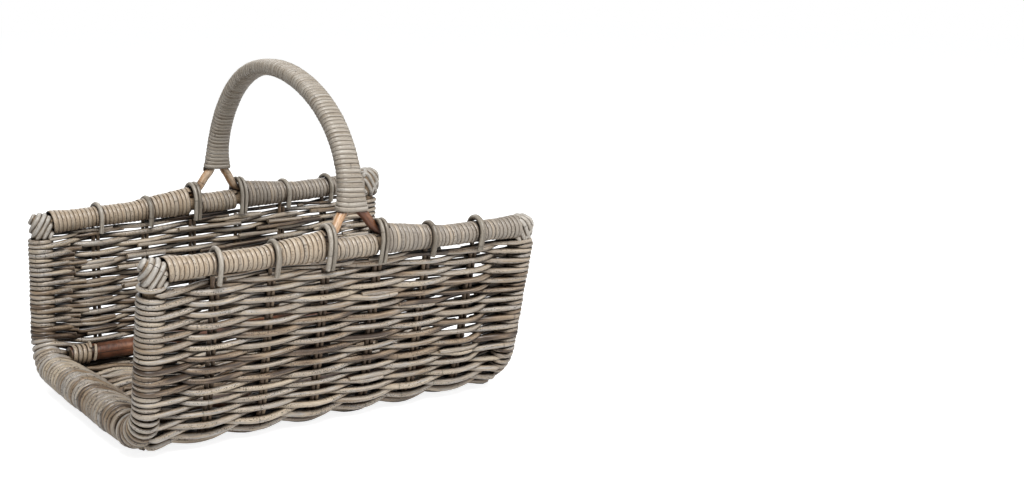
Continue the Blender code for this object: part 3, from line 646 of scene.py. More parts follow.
def rod_finish(name, stops, streak=0.5, specks=0.5, node_every=0.16, roughness=0.5,
               bump=0.25, stain_share=0.0, painted_shade_share=1.0, cut_end=None):
    """Bark or skin along a rod: tints, streaks, dark specks, node rings and painted shade."""
    made, tree, shader = new_finish(name)

    def stored(label):
        """What the rod's tree stored under a name."""
        return add(tree, "ShaderNodeAttribute", attribute_name=label)["Fac"]

    along = stored("along")
    tint = stored("tint")
    turn = maths(tree, "MULTIPLY", stored("around"), 2 * math.pi)
    wide = maths(tree, "SINE", turn)
    deep = maths(tree, "COSINE", turn)

    def along_noise(length_scale, scale, detail, shift):
        """Noise on the rod's skin, stretched along it and different on each rod."""
        far = maths(tree, "ADD", maths(tree, "MULTIPLY", along, length_scale),
                    maths(tree, "MULTIPLY", tint, TINT_SHIFT + shift))
        vector = add(tree, "ShaderNodeCombineXYZ", {"X": wide, "Y": deep, "Z": far})[0]
        return add(tree, "ShaderNodeTexNoise", {"Vector": vector, "Scale": scale,
                                                "Detail": detail,
                                                "Roughness": NOISE_ROUGHNESS})["Fac"]

    patches = maths(tree, "SUBTRACT", along_noise(*PATCHES), 0.5)
    place = maths(tree, "ADD", maths(tree, "MULTIPLY", patches, PATCH_CONTRAST), tint)
    colour = ramp(tree, place, stops)
    fine = along_noise(*STREAKS)
    colour = blended(tree, streak, colour, ramp(tree, fine, STREAK_STOPS), "MULTIPLY")
    if stain_share:
        stain = maths(tree, "MULTIPLY", along_noise(*STAINS), stain_share)
        colour = blended(tree, stain, colour, STAIN, "MULTIPLY")
    spots = maths(tree, "MULTIPLY", maths(tree, "GREATER_THAN", along_noise(*SPECKS), SPECK_LIMIT),
                  maths(tree, "GREATER_THAN", along_noise(*SPECKED_AREAS), SPECKED_AREA_LIMIT))
    colour = blended(tree, maths(tree, "MULTIPLY", spots, specks), colour, DARK)
    phase = maths(tree, "FRACT", maths(tree, "ADD", maths(tree, "MULTIPLY", along, 1 / node_every),
                                       maths(tree, "MULTIPLY", tint, NODE_RING_SHIFT)))
    ring = ramp(tree, phase, [(0.0, (1, 1, 1)), (NODE_RING_WIDTH / node_every, (0, 0, 0))])
    colour = blended(tree, maths(tree, "MULTIPLY", ring, NODE_RING_STRENGTH), colour, DARK)
    # Painted shade: the colour is multiplied by a ramp of ambient occlusion, so gaps and undersides
    # between rods go dark.
    near = add(tree, "ShaderNodeAmbientOcclusion", {"Distance": PAINTED_SHADE_REACH},
               samples=PAINTED_SHADE_SAMPLES)["AO"]
    colour = blended(tree, painted_shade_share, colour, ramp(tree, near, PAINTED_SHADE_STOPS), "MULTIPLY")
    if cut_end:
        colour = blended(tree, maths(tree, "LESS_THAN", stored("to_end"), CUT_REACH), colour, cut_end)
    rough = maths(tree, "MULTIPLY_ADD", fine, ROUGHNESS_SPAN, roughness - ROUGHNESS_SPAN / 2)
    height = maths(tree, "SUBTRACT", fine, maths(tree, "MULTIPLY", spots, SPECK_DEPTH))
    relief = add(tree, "ShaderNodeBump", {"Height": height, "Strength": bump,
                                          "Distance": SKIN_DEPTH})[0]
    fill(tree, shader, {"Base Color": colour, "Roughness": rough, "Normal": relief})
    return made


# %% [markdown]
# The rods of the weave keep their grey brown skin. The canes of the handle and the poles of the
# floor are redder, and split cane for winding is paler and smoother. Each finish is the same
# recipe with tints of its own, from a rod's darkest to its lightest.

# %% Rod finishes
UNPEELED_ROD = rod_finish("unpeeled rod", [
    (0.0, (0.055, 0.036, 0.024)), (0.15, (0.170, 0.120, 0.080)), (0.32, (0.295, 0.222, 0.148)),
    (0.50, (0.285, 0.253, 0.216)), (0.68, (0.385, 0.315, 0.235)), (0.84, (0.345, 0.328, 0.308)),
    (1.0, (0.445, 0.375, 0.285))],
    specks=0.9, node_every=0.27, roughness=0.36, cut_end=(0.25, 0.19, 0.13))
# Stakes and ties take a smaller share of the painted shade, so they stay lighter between the rows.
STAKE_ROD = rod_finish("stake rod", [
    (0.1, (0.16, 0.105, 0.065)), (0.5, (0.31, 0.215, 0.135)), (0.9, (0.42, 0.315, 0.21))],
    painted_shade_share=0.6, cut_end=(0.40, 0.31, 0.21))
TIE_ROD = rod_finish("grey tie rod", [
    (0.1, (0.17, 0.143, 0.112)), (0.5, (0.27, 0.240, 0.195)), (0.9, (0.36, 0.325, 0.275))],
    streak=0.6, painted_shade_share=0.8, roughness=0.42)
PALE_CANE = rod_finish("pale split cane", [
    (0.05, (0.375, 0.305, 0.225)), (0.4, (0.450, 0.388, 0.308)), (0.95, (0.295, 0.270, 0.238))],
    streak=0.45, specks=0.7, node_every=0.31, roughness=0.41, bump=0.12, stain_share=0.4)
GREY_CANE = rod_finish("grey split cane", [
    (0.05, (0.270, 0.236, 0.192)), (0.5, (0.384, 0.358, 0.316)), (0.95, (0.44, 0.430, 0.406))],
    streak=0.4, specks=0.45, node_every=0.27, roughness=0.43, bump=0.12, stain_share=0.3)
BARK = rod_finish("red brown bark", [
    (0.1, (0.03, 0.013, 0.008)), (0.5, (0.16, 0.060, 0.030)), (0.9, (0.40, 0.20, 0.105))],
    streak=0.9, specks=0.6, node_every=0.075, roughness=0.4, bump=0.4,
    cut_end=(0.20, 0.14, 0.085))
HONEY_CANE = rod_finish("honey cane", [
    (0.05, (0.13, 0.05, 0.025)), (0.30, (0.22, 0.095, 0.045)), (0.62, (0.50, 0.29, 0.15)),
    (0.95, (0.54, 0.41, 0.29))], streak=0.9, specks=0.3, node_every=0.2, roughness=0.36, bump=0.2)
print("finishes:", len(bpy.data.materials))

# %% [markdown]
# The weave. One row after another runs from post to post, outside one pair of stakes and inside
# the next. First come the places of the rows on the section. Those of the floor lie further apart,
# because its rods are thicker, and the lowest rows of the front lie under the bend of the frame.

# %% Where the rows lie
FRONT_PITCH = 0.0068
FLOOR_PITCH = 0.0098
BACK_PITCH = 0.0070
FIRST_ROW = 0.0012
CORNER_RUN = BASKET_CORNER_RADIUS * 1.45
LOW_ROWS_START = 0.012


def row_shares():
    """Places of all rows as shares of the section's length, front top to back top."""
    run = FIRST_ROW
    places = []
    while run < SECTION_LENGTH - FIRST_ROW:
        places.append(run / SECTION_LENGTH)
        if run < WALL_LENGTHS[0] + CORNER_RUN:
            run += FRONT_PITCH
        elif run < SECTION_LENGTH - WALL_LENGTHS[1]:
            run += FLOOR_PITCH
        else:
            run += BACK_PITCH
    return places


ROWS = row_shares()
BENDS = [END_SECTION[2][i] / END_SECTION[2][-1]
         for i in (1, SECTION_SAMPLES + 1, -SECTION_SAMPLES - 2, -2)]
FRONT_ROWS = [i for i, s in enumerate(ROWS) if s * SECTION_LENGTH < WALL_LENGTHS[0]]
BACK_ROWS = [i for i, s in enumerate(ROWS) if (1 - s) * SECTION_LENGTH < WALL_LENGTHS[1]]
LOW_ROWS = [i for i, s in enumerate(ROWS) if BENDS[0] + LOW_ROWS_START < s < BENDS[1]]
print(len(ROWS), "rows;", len(FRONT_ROWS), "in the front wall,", len(BACK_ROWS), "in the back wall")
print("rows that turn back under the front bend:", LOW_ROWS)

# %% [markdown]
# A row swings from outside to inside between one pair of stakes and the next, as far as both its
# own thickness and the stakes ask for. The floor's rods are thicker, so they swing further, and at
# its ends a row swings as wide as its turn round the frame. The rods aren't simulated: a cosine
# between the places beside the stakes already looks like a springy rod.

# %% Outside one pair and inside the next
CREST = 0.0050
END_CREST = 0.0062
FLOOR_CREST = 0.0076
WRAP_RADIUS = 0.0138
BAR_EXTRA = 0.0022
TURN_RADIUS = 0.0068
FLOOR_THICKENING = 0.38


def bend_parts(share):
    """How far a share is along the front bend and, from the other end, along the back bend."""
    return ((share - BENDS[0]) / (BENDS[1] - BENDS[0]), (BENDS[3] - share) / (BENDS[3] - BENDS[2]))


def row_thickness(share):
    """The rods of the floor are thicker than those of the walls."""
    front, rear = bend_parts(share)
    return 1 + FLOOR_THICKENING * smooth(min(front, 2 * rear))


def wrap_radius(share):
    """Radius of a turn round the frame, a little more on the end bar than on the posts."""
    return WRAP_RADIUS + BAR_EXTRA * smooth(min(bend_parts(share)))


def row_out(index, x):
    """How far outside the shell a row's axis lies at a place along it."""
    stops = [-HALF_LENGTH] + STAKE_PLACES + [HALF_LENGTH]
    share = ROWS[index]
    low = smooth(min(share - BENDS[0], BENDS[3] - share) / (BENDS[1] - BENDS[0]))
    crest = CREST + (FLOOR_CREST - CREST) * low
    end = TURN_RADIUS if index in LOW_ROWS else wrap_radius(share)
    sizes = [end, END_CREST] + [crest] * (STAKE_PAIRS - 2) + [END_CREST, end]
    for number in range(len(stops) - 1):
        if x <= stops[number + 1]:
            break
    part = min(max((x - stops[number]) / (stops[number + 1] - stops[number]), 0), 1)
    sign = 1 if (index + number) % 2 == 0 else -1
    ease = (1 - math.cos(math.pi * part)) / 2
    return sign * (sizes[number] * (1 - ease) - sizes[number + 1] * ease)


print("at the first pair of stakes the first rows lie",
      [round(row_out(i, STAKE_PLACES[0]), 4) for i in range(4)], "m outside")

# %% [markdown]
# Rods that were laid by hand bunch up and spread a little, so a slow noise moves each point up or
# down the wall. Every random choice comes from one generator with a fixed seed, so the basket
# comes out the same each time.

# %% Points of a row
ROW_STEP = 0.0085
SPLICE_TAIL = 0.030
SPLICE_SPREAD = 0.0029
TAIL_RISES = (-0.25, 0.22)
UNEVEN_LIE = 0.0016
LIE_LENGTH = 0.065
LIE_HEIGHT = LIE_LENGTH / 3
CALM_RUN = 0.04
RANDOM = random.Random(11)


def uneven_share(share, x):
    """A row's place where the rods bunch up or spread a little, as by hand."""
    calm = min(1, max(0, (HALF_LENGTH - abs(x)) / CALM_RUN))
    there = Vector((x / LIE_LENGTH, share * SECTION_LENGTH / LIE_HEIGHT, 0.5))
    return share + noise.noise(there) * UNEVEN_LIE * calm / SECTION_LENGTH


def row_path(index, from_x, to_x, splice_x=0.0, part=0):
    """Points of one row between two places.

    At a splice, part is 1 or -1 for the way along X in which the rod's free end points. The
    end stays on the stake's side of the wall, and moves aside to leave room for its partner."""
    rise = RANDOM.uniform(*TAIL_RISES)
    count = max(2, round(abs(to_x - from_x) / ROW_STEP))
    points = []
    for i in range(count + 1):
        x = from_x + (to_x - from_x) * i / count
        out = row_out(index, x)
        share = uneven_share(ROWS[index], x)
        if part:
            past = part * (x - splice_x)
            share += part * SPLICE_SPREAD * smooth(1 + past / SPLICE_TAIL) / SECTION_LENGTH
            if past > 0:
                out = row_out(index, splice_x) * (1 + rise * past / SPLICE_TAIL)
        points.append(shell(share, x, out, index in LOW_ROWS))
    return points


print("rods have a point every", ROW_STEP, "m")

# %% [markdown]
# At a post the rod goes round it one and a half times, so that the post is covered, and comes back
# as the next row. The low rows turn back beside the bend, and it gets rings of its own.

# %% Round the posts
WRAP_STEPS = 10
WRAP_THINNING = 0.89
WRAP_SPREAD = 0.0002
TURN_INSET = 0.011
BEND_RING_PITCH = 0.0072


def round_frame(share, hand, end, radius, turn, low=False):
    """A point on the way round the frame, counted in half turns from its inner side."""
    x = hand * (end + radius * math.sin(math.pi * turn))
    return shell(share, x, -radius * math.cos(math.pi * turn), low)


def row_end(index):
    """How far out along X a row reaches."""
    return HALF_LENGTH - (TURN_INSET if index in LOW_ROWS else 0)


def wrap_path(index, hand):
    """Round the post, from the inside of a row to the outside of the next."""
    here = ROWS[index]
    gap = ROWS[index + 1] - here if index + 1 < len(ROWS) else here - ROWS[index - 1]
    low = index in LOW_ROWS
    half_turns = 1 if low else 3
    radius = TURN_RADIUS if low else wrap_radius(here)
    points = []
    for i in range(1, half_turns * WRAP_STEPS):
        turn = i / WRAP_STEPS
        share = here + gap * min(max(turn - half_turns + 2, 0), 1)
        points.append(round_frame(min(share, 1), hand, row_end(index), radius, turn, low))
    return points


def first_ring(index, hand):
    """The ring round the post with which the very first row begins."""
    points = []
    for i in range(-WRAP_STEPS, 2 * WRAP_STEPS):
        turn = i / WRAP_STEPS
        share = ROWS[index] - FRONT_PITCH * (1 - turn / 2) / SECTION_LENGTH
        points.append(round_frame(share, hand, HALF_LENGTH, WRAP_RADIUS, 1 - turn))
    return points


def bend_rings():
    """Rings round the front bends of both end frames, where the lowest rows turn back."""
    rings = []
    count = round((BENDS[1] - BENDS[0]) * END_SECTION[2][-1] / BEND_RING_PITCH)
    for hand, number in [(hand, number) for hand in (-1, 1) for number in range(count)]:
        share = BENDS[0] + (BENDS[1] - BENDS[0]) * (number + 0.5) / count
        points = [round_frame(share, hand, HALF_LENGTH, wrap_radius(share), i / WRAP_STEPS)
                  for i in range(2 * WRAP_STEPS + 2)]
        thickness = RANDOM.gauss(ROD_RADIUS * WRAP_THINNING, WRAP_SPREAD)
        rings.append((points, thickness * row_thickness(share), RANDOM.random()))
    return rings


print("a turn round a post has a radius of", WRAP_RADIUS, "m, round the end bar",
      round(wrap_radius(0.5), 4))

# %% [markdown]
# The rows are made as one long chain, cut at random into rods that taper from butt to tip. Where
# one rod ends and the next begins, both pass the same stake side by side, mostly on its inner
# side. A chain is simpler than single rods, because each rod takes up where the last one ended.

# %% Rows cut into rods
SPLICE_CHANCE = 0.85
HIDDEN_SPLICE_SHARE = 0.8
TAIL_SHARES = (0.5, 1.25)
TAPER_SHARE = 0.16
THINNEST = 0.0028
THICKEST = 0.0040
ROD_SPREAD = 0.0003
TIP_SHARES = (0.62, 0.86)
TINT_LEANING = 0.62


def chain(first, last):
    """Rows first to last as rods: a list of paths with thickness and tint."""
    rods_made = []
    current = []
    shares = []

    def lay(points, share=1.0):
        current.extend(points)
        shares.extend([share] * len(points))

    def end_rod():
        if len(current) > 2:
            radius = min(max(RANDOM.gauss(ROD_RADIUS, ROD_SPREAD), THINNEST), THICKEST)
            butt = RANDOM.choice((-1, 1))
            last_point = len(current) - 1
            radii = [radius * share * (1 + butt * TAPER_SHARE * (0.5 - i / last_point))
                     for i, share in enumerate(shares)]
            for i, share in enumerate(TIP_SHARES):
                radii[i] *= share
                radii[-1 - i] *= share
            rods_made.append((list(current), radii, RANDOM.random() ** TINT_LEANING))
        current.clear()
        shares.clear()

    for index in range(first, last + 1):
        heading = 1 if index % 2 == 0 else -1
        start = -row_end(index) * heading
        thick = row_thickness(ROWS[index])
        if index == 0:
            lay(first_ring(index, -heading), WRAP_THINNING)
        within = [x for x in STAKE_PLACES if row_out(index, x) < 0]
        hidden = index in LOW_ROWS or RANDOM.random() < HIDDEN_SPLICE_SHARE
        splice_x = RANDOM.choice(within if hidden else STAKE_PLACES)
        if RANDOM.random() < SPLICE_CHANCE:
            tail = heading * SPLICE_TAIL * RANDOM.uniform(*TAIL_SHARES)
            lay(row_path(index, start, splice_x + tail, splice_x, heading), thick)
            end_rod()
            tail = heading * SPLICE_TAIL * RANDOM.uniform(*TAIL_SHARES)
            lay(row_path(index, splice_x - tail, -start, splice_x, -heading), thick)
        else:
            lay(row_path(index, start, -start), thick)
        lay(wrap_path(index, heading), WRAP_THINNING * thick)
    end_rod()
    return rods_made


# %% The woven walls, the floor and the rings of the bends
CORNER_ROWS = 5
SPLIT_FRONT = FRONT_ROWS[-1] + CORNER_ROWS
SPLIT_BACK = BACK_ROWS[0] - CORNER_ROWS


def woven(name, paths, seed, *solids):
    """Make rods of the paths and let them stand for the solid model's weavers there."""
    piece = rods(name, paths, UNPEELED_ROD, seed=seed)
    settle(piece, "unpeeled_rod")
    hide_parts(*solids)


woven("front_wall_weave", chain(0, SPLIT_FRONT), 1, "front_wall_weaver_1", "front_wall_weaver_2",
      "front_wall_weaver_3", "front_corner_weaver")
woven("floor_weave", chain(SPLIT_FRONT + 1, SPLIT_BACK - 1), 2,
      "floor_weaver_1", "floor_weaver_2", "floor_weaver_3", "floor_weaver_4")
woven("back_wall_weave", chain(SPLIT_BACK, len(ROWS) - 1), 3, "back_corner_weaver",
      "back_wall_weaver_1", "back_wall_weaver_2", "back_wall_weaver_3")
woven("bend_rings", bend_rings(), 4)

# %% [markdown]
# Inside the walls lie the butts of rods that were stuck in beside others. They are seen through
# the gaps of the weave and make it look full, so short straight rods lie there at random places,
# and shorter ones beside every post, which take only the darker tints as painted shade.

# %% Butts inside the walls
INNER_ENDS = ((FRONT_ROWS, 96), (BACK_ROWS, 34))
INNER_START = -0.19
INNER_SPAN = 0.442
INNER_LENGTHS = (0.045, 0.115)
INNER_LEANING = 0.75
INNER_OUT = 0.0088
INNER_RADII = (0.0029, 0.0036)
INNER_DRIFTS = (-0.5, 0.5)
INNER_STEPS = 8
POST_BUTT_OUT = INNER_OUT * 0.6
POST_BUTT_STARTS = (0.5, 0.9)
POST_BUTT_LENGTHS = (0.026, 0.056)
POST_BUTT_RADII = (0.0026, 0.0033)
# Painted shade: butts beside the posts take only the darker part of the tints.
POST_BUTT_PAINTED_SHADE_TINT = 0.6
POST_BUTT_STEPS = 6


def butt(index, x, length, out, steps, drift=0.0):
    """A straight piece of rod along the inside of a wall, between a row and the next."""
    share = (ROWS[index] + ROWS[index + 1]) / 2
    return [shell(share + drift * i / steps, x + length * i / steps, -out)
            for i in range(steps + 1)]


def inner_ends():
    """Butts of rods that lie inside the walls, behind the gaps of the weave."""
    made = []
    for rows, number in INNER_ENDS:
        for _ in range(number):
            index = RANDOM.choice(rows[1:-1])
            length = RANDOM.uniform(*INNER_LENGTHS)
            x = INNER_START + (INNER_SPAN - length) * RANDOM.random() ** INNER_LEANING
            drift = RANDOM.uniform(*INNER_DRIFTS) * FRONT_PITCH / SECTION_LENGTH
            points = butt(index, x, length, INNER_OUT, INNER_STEPS, drift)
            made.append((points, RANDOM.uniform(*INNER_RADII), RANDOM.random()))
    for hand, rows in ((-1, BACK_ROWS), (1, BACK_ROWS), (-1, FRONT_ROWS), (1, FRONT_ROWS)):
        for index in rows[1:-1]:
            start = HALF_LENGTH - WRAP_RADIUS * RANDOM.uniform(*POST_BUTT_STARTS)
            length = RANDOM.uniform(*POST_BUTT_LENGTHS)
            points = butt(index, hand * start, -hand * length, POST_BUTT_OUT, POST_BUTT_STEPS)
            made.append((points, RANDOM.uniform(*POST_BUTT_RADII),
                         RANDOM.random() * POST_BUTT_PAINTED_SHADE_TINT))
    return made


woven("inner_ends", inner_ends(), 5)

# %% [markdown]
# Under each rail the weaver used up short thin rods. They lie one over the other between the first
# full row and the winding, with gaps between them that let the light through. Each row of the
# table gives a rod's two ends along X, their drops below the rail's axis, and its radius. They are
# few, and no rule fits them, so the table places them one by one.

# %% Thin rods under the rails
SHORT_RODS = {
    -1: [(-0.236, -0.120, 0.0215, 0.0232, 0.0024), (-0.170, 0.005, 0.0182, 0.0186, 0.0023),
         (-0.060, 0.066, 0.0226, 0.0196, 0.0026), (0.030, 0.150, 0.0186, 0.0226, 0.0025),
         (0.112, 0.252, 0.0222, 0.0190, 0.0028), (-0.020, 0.040, 0.0190, 0.0230, 0.0022),
         (0.020, 0.130, 0.0176, 0.0190, 0.0027), (0.165, 0.262, 0.0235, 0.0168, 0.0032)],
    1: [(-0.240, -0.085, 0.0235, 0.0182, 0.0026), (-0.150, 0.020, 0.0186, 0.0226, 0.0024),
        (-0.030, 0.095, 0.0226, 0.0184, 0.0026), (0.070, 0.190, 0.0190, 0.0224, 0.0025),
        (0.135, 0.246, 0.0220, 0.0186, 0.0025),
        (-0.250, -0.140, 0.0195, 0.0205, 0.0027), (-0.246, -0.158, 0.0170, 0.0160, 0.0026),
        (-0.200, -0.080, 0.0172, 0.0192, 0.0026), (-0.110, 0.020, 0.0170, 0.0168, 0.0026)]}
SHORT_ROD_WAVE = 0.0007
SHORT_ROD_WAVES = 9
SHORT_OUT_SHARES = (0.75, 0.9)


def short_rod(number, side, from_x, to_x, from_drop, to_drop):
    """A short rod that passes the stakes on alternate sides."""
    count = max(8, round((to_x - from_x) / ROW_STEP))
    points = []
    for share in [i / count for i in range(count + 1)]:
        x = from_x + (to_x - from_x) * share
        drop = from_drop + (to_drop - from_drop) * share
        drop += SHORT_ROD_WAVE * math.sin(SHORT_ROD_WAVES * share)
        out = row_out(number, x) * SHORT_OUT_SHARES[abs(x) >= BLEND_START]
        points.append(rail_point(side, x) - wall_up(side) * drop + wall_out(side) * out)
    return points


short = [(short_rod(number, side, *ends), radius, RANDOM.random())
         for side, table in SHORT_RODS.items() for number, (*ends, radius) in enumerate(table)]
settle(rods("short_rods", short, UNPEELED_ROD, wander=0.0006, seed=6), "unpeeled_rod")

# %% [markdown]
# The stakes hang in pairs from rail to rail. One rod of each pair goes on over the rail as a tie,
# and both do at the legs of the handle; the other is cut off just under the rail. The paths repeat
# the rule of the solid model with more points, so that the ties are round loops.

# %% Paths of a stake and a tie
WOUND_RADIUS = 0.0137
TIE_RADIUS = 0.0033
LEG_TIE_RADIUS = 0.0029
LEG_TIE_LIFT = 1.2
TIE_CLOSENESS = 0.9
TIE_LEAN = 0.004
BACK_LEAN_SHARE = 0.4
TIE_FALL = ((0.96, 0.0080), (0.92, 0.0145), (0.86, 0.0200))
TIE_SPACING_SHARE = 0.6
TIE_SPREAD = 0.0002
BEND_STEPS = 16
STAKE_STEPS = 60
STAKE_JITTER = 0.0006
STAKE_SPREAD = 0.0001
CUT_DROP = WOUND_RADIUS + 0.0006


def tie_points(side, x, at_leg):
    """From under the rail on its hidden side, over the winding and straight down on the other.

    The side that is seen from the front leans a little along the rail, as a wound tie does."""
    lift = CANE_RADIUS if at_leg else 0
    radius = WOUND_RADIUS + TIE_RADIUS * TIE_CLOSENESS
    out, up = wall_out(side), wall_up(side)
    centre = rail_point(side, x) + up * lift
    shown = -side
    lean = TIE_LEAN / 2 * (side if side < 0 else BACK_LEAN_SHARE)

    def place(across, height):
        leaning = Vector((lean * (across * shown / radius + 1), 0, 0))
        return centre + out * across + up * height + leaning

    def fall(across):
        return [place(across * radius * share, -drop - lift) for share, drop in TIE_FALL]

    points = fall(-shown)[1::-1]
    for angle in [math.pi * i / BEND_STEPS for i in range(BEND_STEPS + 1)]:
        tall = radius + lift * LEG_TIE_LIFT
        points.append(place(-shown * math.cos(angle) * radius, math.sin(angle) * tall))
    return points + fall(shown)


def stake_points(x, cut):
    """A stake, from under the front rail to under the back rail, a little higher where it is cut."""
    line = [shell(i / STAKE_STEPS, x, 0) for i in range(STAKE_STEPS + 1)]
    if cut:
        front, rear = [rail_point(side, x) - wall_up(side) * CUT_DROP for side in (-1, 1)]
        line = [front] + line + [rear]
    return line


print("a tie over the rail has", len(tie_points(-1, 0, False)), "points")

# %% The stakes and ties of all pairs
stake_paths = []
tie_paths = []
for x in STAKE_PLACES:
    at_leg = abs(abs(x) - LEG_PLACE) < PAIR_SPACING
    for offset in (-PAIR_SPACING / 2, PAIR_SPACING / 2):
        tied = at_leg or offset > 0
        line = stake_points(x + offset + RANDOM.uniform(-STAKE_JITTER, STAKE_JITTER), not tied)
        stake_paths.append((line, RANDOM.gauss(STAKE_RADIUS, STAKE_SPREAD), RANDOM.random()))
        for side in (-1, 1) if tied else ():
            tie_x = x + offset * (1.0 if at_leg else TIE_SPACING_SHARE)
            thick = LEG_TIE_RADIUS if at_leg else TIE_RADIUS
            tie_paths.append((tie_points(side, tie_x, at_leg), RANDOM.gauss(thick, TIE_SPREAD),
                              RANDOM.random()))
settle(rods("stakes", stake_paths, STAKE_ROD, step=0.005, wander=0.0002, seed=7), "stake_rod",
       *[f"stake_{i + 1}_{hand}" for i in range(STAKE_PAIRS) for _, hand in HANDS])
settle(rods("rail_ties", tie_paths, TIE_ROD, step=0.0025, wander=0.0003, seed=8), "stake_rod")

# %% [markdown]
# The rails are wound from cap to cap. Beside each leg of the handle the winding also takes in the
# end of the cane that lies on the rail, so the wound rail swells there and thins out with the
# cane's cut end. It swells again a little towards the caps, and sags and thickens to the right.

# %% Rail windings
RAIL_PITCH = 0.0060
STRAND_WIDTH = 0.0065
STRAND_THICKNESS = 0.0028
RAIL_UNEVENNESS = 0.11
SWELL = 0.0112
SWELL_RUN = 0.088
SWELL_WIDENING = 0.08
CAP_LENGTH = 0.028
CAP_SWELL = 0.0020
CAP_SWELL_RUN = 0.034
RAIL_SAG = 0.0012
SAG_START = -0.15
THICKENING = 0.0006
THICKENING_START = -0.12
EASE_RUN = 0.2
CORE_EXTRA = {-1: 0.0010, 1: 0.0022}
CORE_STEPS = 60
PAIR_HALF_WIDTH = PAIR_SPACING / 2 + STAKE_RADIUS
OUTER_GAP = 0.001
MIDDLE_GAP = 0.0005
CORE_INNER = LEG_PLACE + PAIR_HALF_WIDTH + OUTER_GAP
CORE_MIDDLE = LEG_PLACE - PAIR_HALF_WIDTH - MIDDLE_GAP
CORE_OUTER = HALF_LENGTH - CAP_LENGTH / 2
ALONG = Vector((1, 0, 0))
ACROSS = Vector((0, 1, 0))


def rail_core(side, start, end, lifted):
    """The core of a winding along a rail, swollen over the lying cane and towards the caps."""
    direction = (rail_point(side, HALF_LENGTH) - rail_point(side, -HALF_LENGTH)).normalized()
    upward = direction.cross(ACROSS)
    core = []
    for i in range(CORE_STEPS + 1):
        x = start + (end - start) * i / CORE_STEPS
        share = 1 - (abs(x) - LEG_PLACE - PAIR_HALF_WIDTH) / SWELL_RUN
        raised = SWELL * min(max(share, 0), 1) if lifted else 0
        half = RAIL_RADIUS + CORE_EXTRA[side]
        half += THICKENING * smooth((x - THICKENING_START) / EASE_RUN)
        half += CAP_SWELL * smooth(1 - (CORE_OUTER - abs(x)) / CAP_SWELL_RUN)
        sag = RAIL_SAG * smooth((x - SAG_START) / EASE_RUN)
        core.append((rail_point(side, x) + upward * (raised / 2 - sag), ACROSS, upward,
                     half + raised * SWELL_WIDENING, half + raised / 2))
    return core


for side, label in SIDES:
    stretches = [rail_core(side, -CORE_OUTER, -CORE_INNER, True),
                 rail_core(side, -CORE_MIDDLE, CORE_MIDDLE, False),
                 rail_core(side, CORE_INNER, CORE_OUTER, True)]
    piece = winding(label + "_rail_winding", stretches, PALE_CANE, RAIL_PITCH, STRAND_WIDTH,
                    STRAND_THICKNESS, unevenness=RAIL_UNEVENNESS)
    settle(piece, "pale_winding",
           *[f"{label}_rail_winding_{part}" for part in ("left", "middle", "right")])

# %% [markdown]
# The handle: two canes rise from each rail, bend together and run over the arch side by side. An
# angle of half a turn is the front foot of the arch, and zero is its back foot. The arch is half
# an ellipse that leans back a little. One formula serves both canes, which stand further apart
# towards the feet.

# %% Handle canes
FOOT_ANGLES = {-1: math.pi, 1: 0}
FOOT_RISES = {-1: 0.0420, 1: 0.0470}
FOOT_SPREADS = {-1: 0.0110, 1: 0.0088}
FOOT_INSET = 0.0068
CROWN_SHIFT = 0.0168
CROWN_POWER = 4
CANE_SPACING = 0.0112
SPREAD_POWER = 6
CANE_RUN = 0.050
LEG_INSET = 0.0070
KNEE_SHARE = 0.30
KNEE_RISE = 0.0020
LEG_BOWS = ((0.32, 0.0022), (0.68, 0.0016))
SHOWN_CANE_RADIUS = 0.0058
CANE_TIP = CANE_RADIUS * 0.2
CANE_STEPS = 40
LEG_TINTS = {-1: (0.72, 1.0), 1: (0.1, 0.9)}


def mixed(values, angle):
    """A value between those of the front and the back foot."""
    return values[-1] + (values[1] - values[-1]) * (1 + math.cos(angle)) / 2


def handle_point(angle):
    """Centre of the handle."""
    foot_height = RAIL_HEIGHT + mixed(FOOT_RISES, angle)
    front = wall_y(-1, RAIL_HEIGHT) + FOOT_INSET
    rear = wall_y(1, RAIL_HEIGHT) - FOOT_INSET
    y = (front + rear) / 2 + (rear - front) / 2 * math.cos(angle)
    y += CROWN_SHIFT * math.sin(angle) ** CROWN_POWER
    return Vector((0, y, foot_height + (HANDLE_HEIGHT - foot_height) * math.sin(angle)))


def half_spread(angle):
    """Half the distance between the two canes."""
    apart = mixed(FOOT_SPREADS, angle) * (1 - math.sin(angle)) ** SPREAD_POWER
    return (CANE_SPACING + apart) / 2


def leg(side, hand):
    """A leg of a cane, from its cut end on the rail, past the stakes and up to the arch."""
    lying = Vector((0, 0, CANE_RADIUS + RAIL_RADIUS))
    foot = handle_point(FOOT_ANGLES[side]) + ALONG * hand * half_spread(FOOT_ANGLES[side])
    bent = rail_point(side, hand * (LEG_PLACE - LEG_INSET)) + lying
    level_end = rail_point(side, hand * (LEG_PLACE + PAIR_HALF_WIDTH)) + lying
    knee = bent.lerp(level_end, KNEE_SHARE) + Vector((0, 0, KNEE_RISE))
    bows = [bent.lerp(foot, share) + ALONG * hand * aside for share, aside in LEG_BOWS]
    tip = rail_point(side, hand * (LEG_PLACE + CANE_RUN)) + Vector((0, 0, CANE_TIP + RAIL_RADIUS))
    return [tip, level_end, knee, *bows, foot]


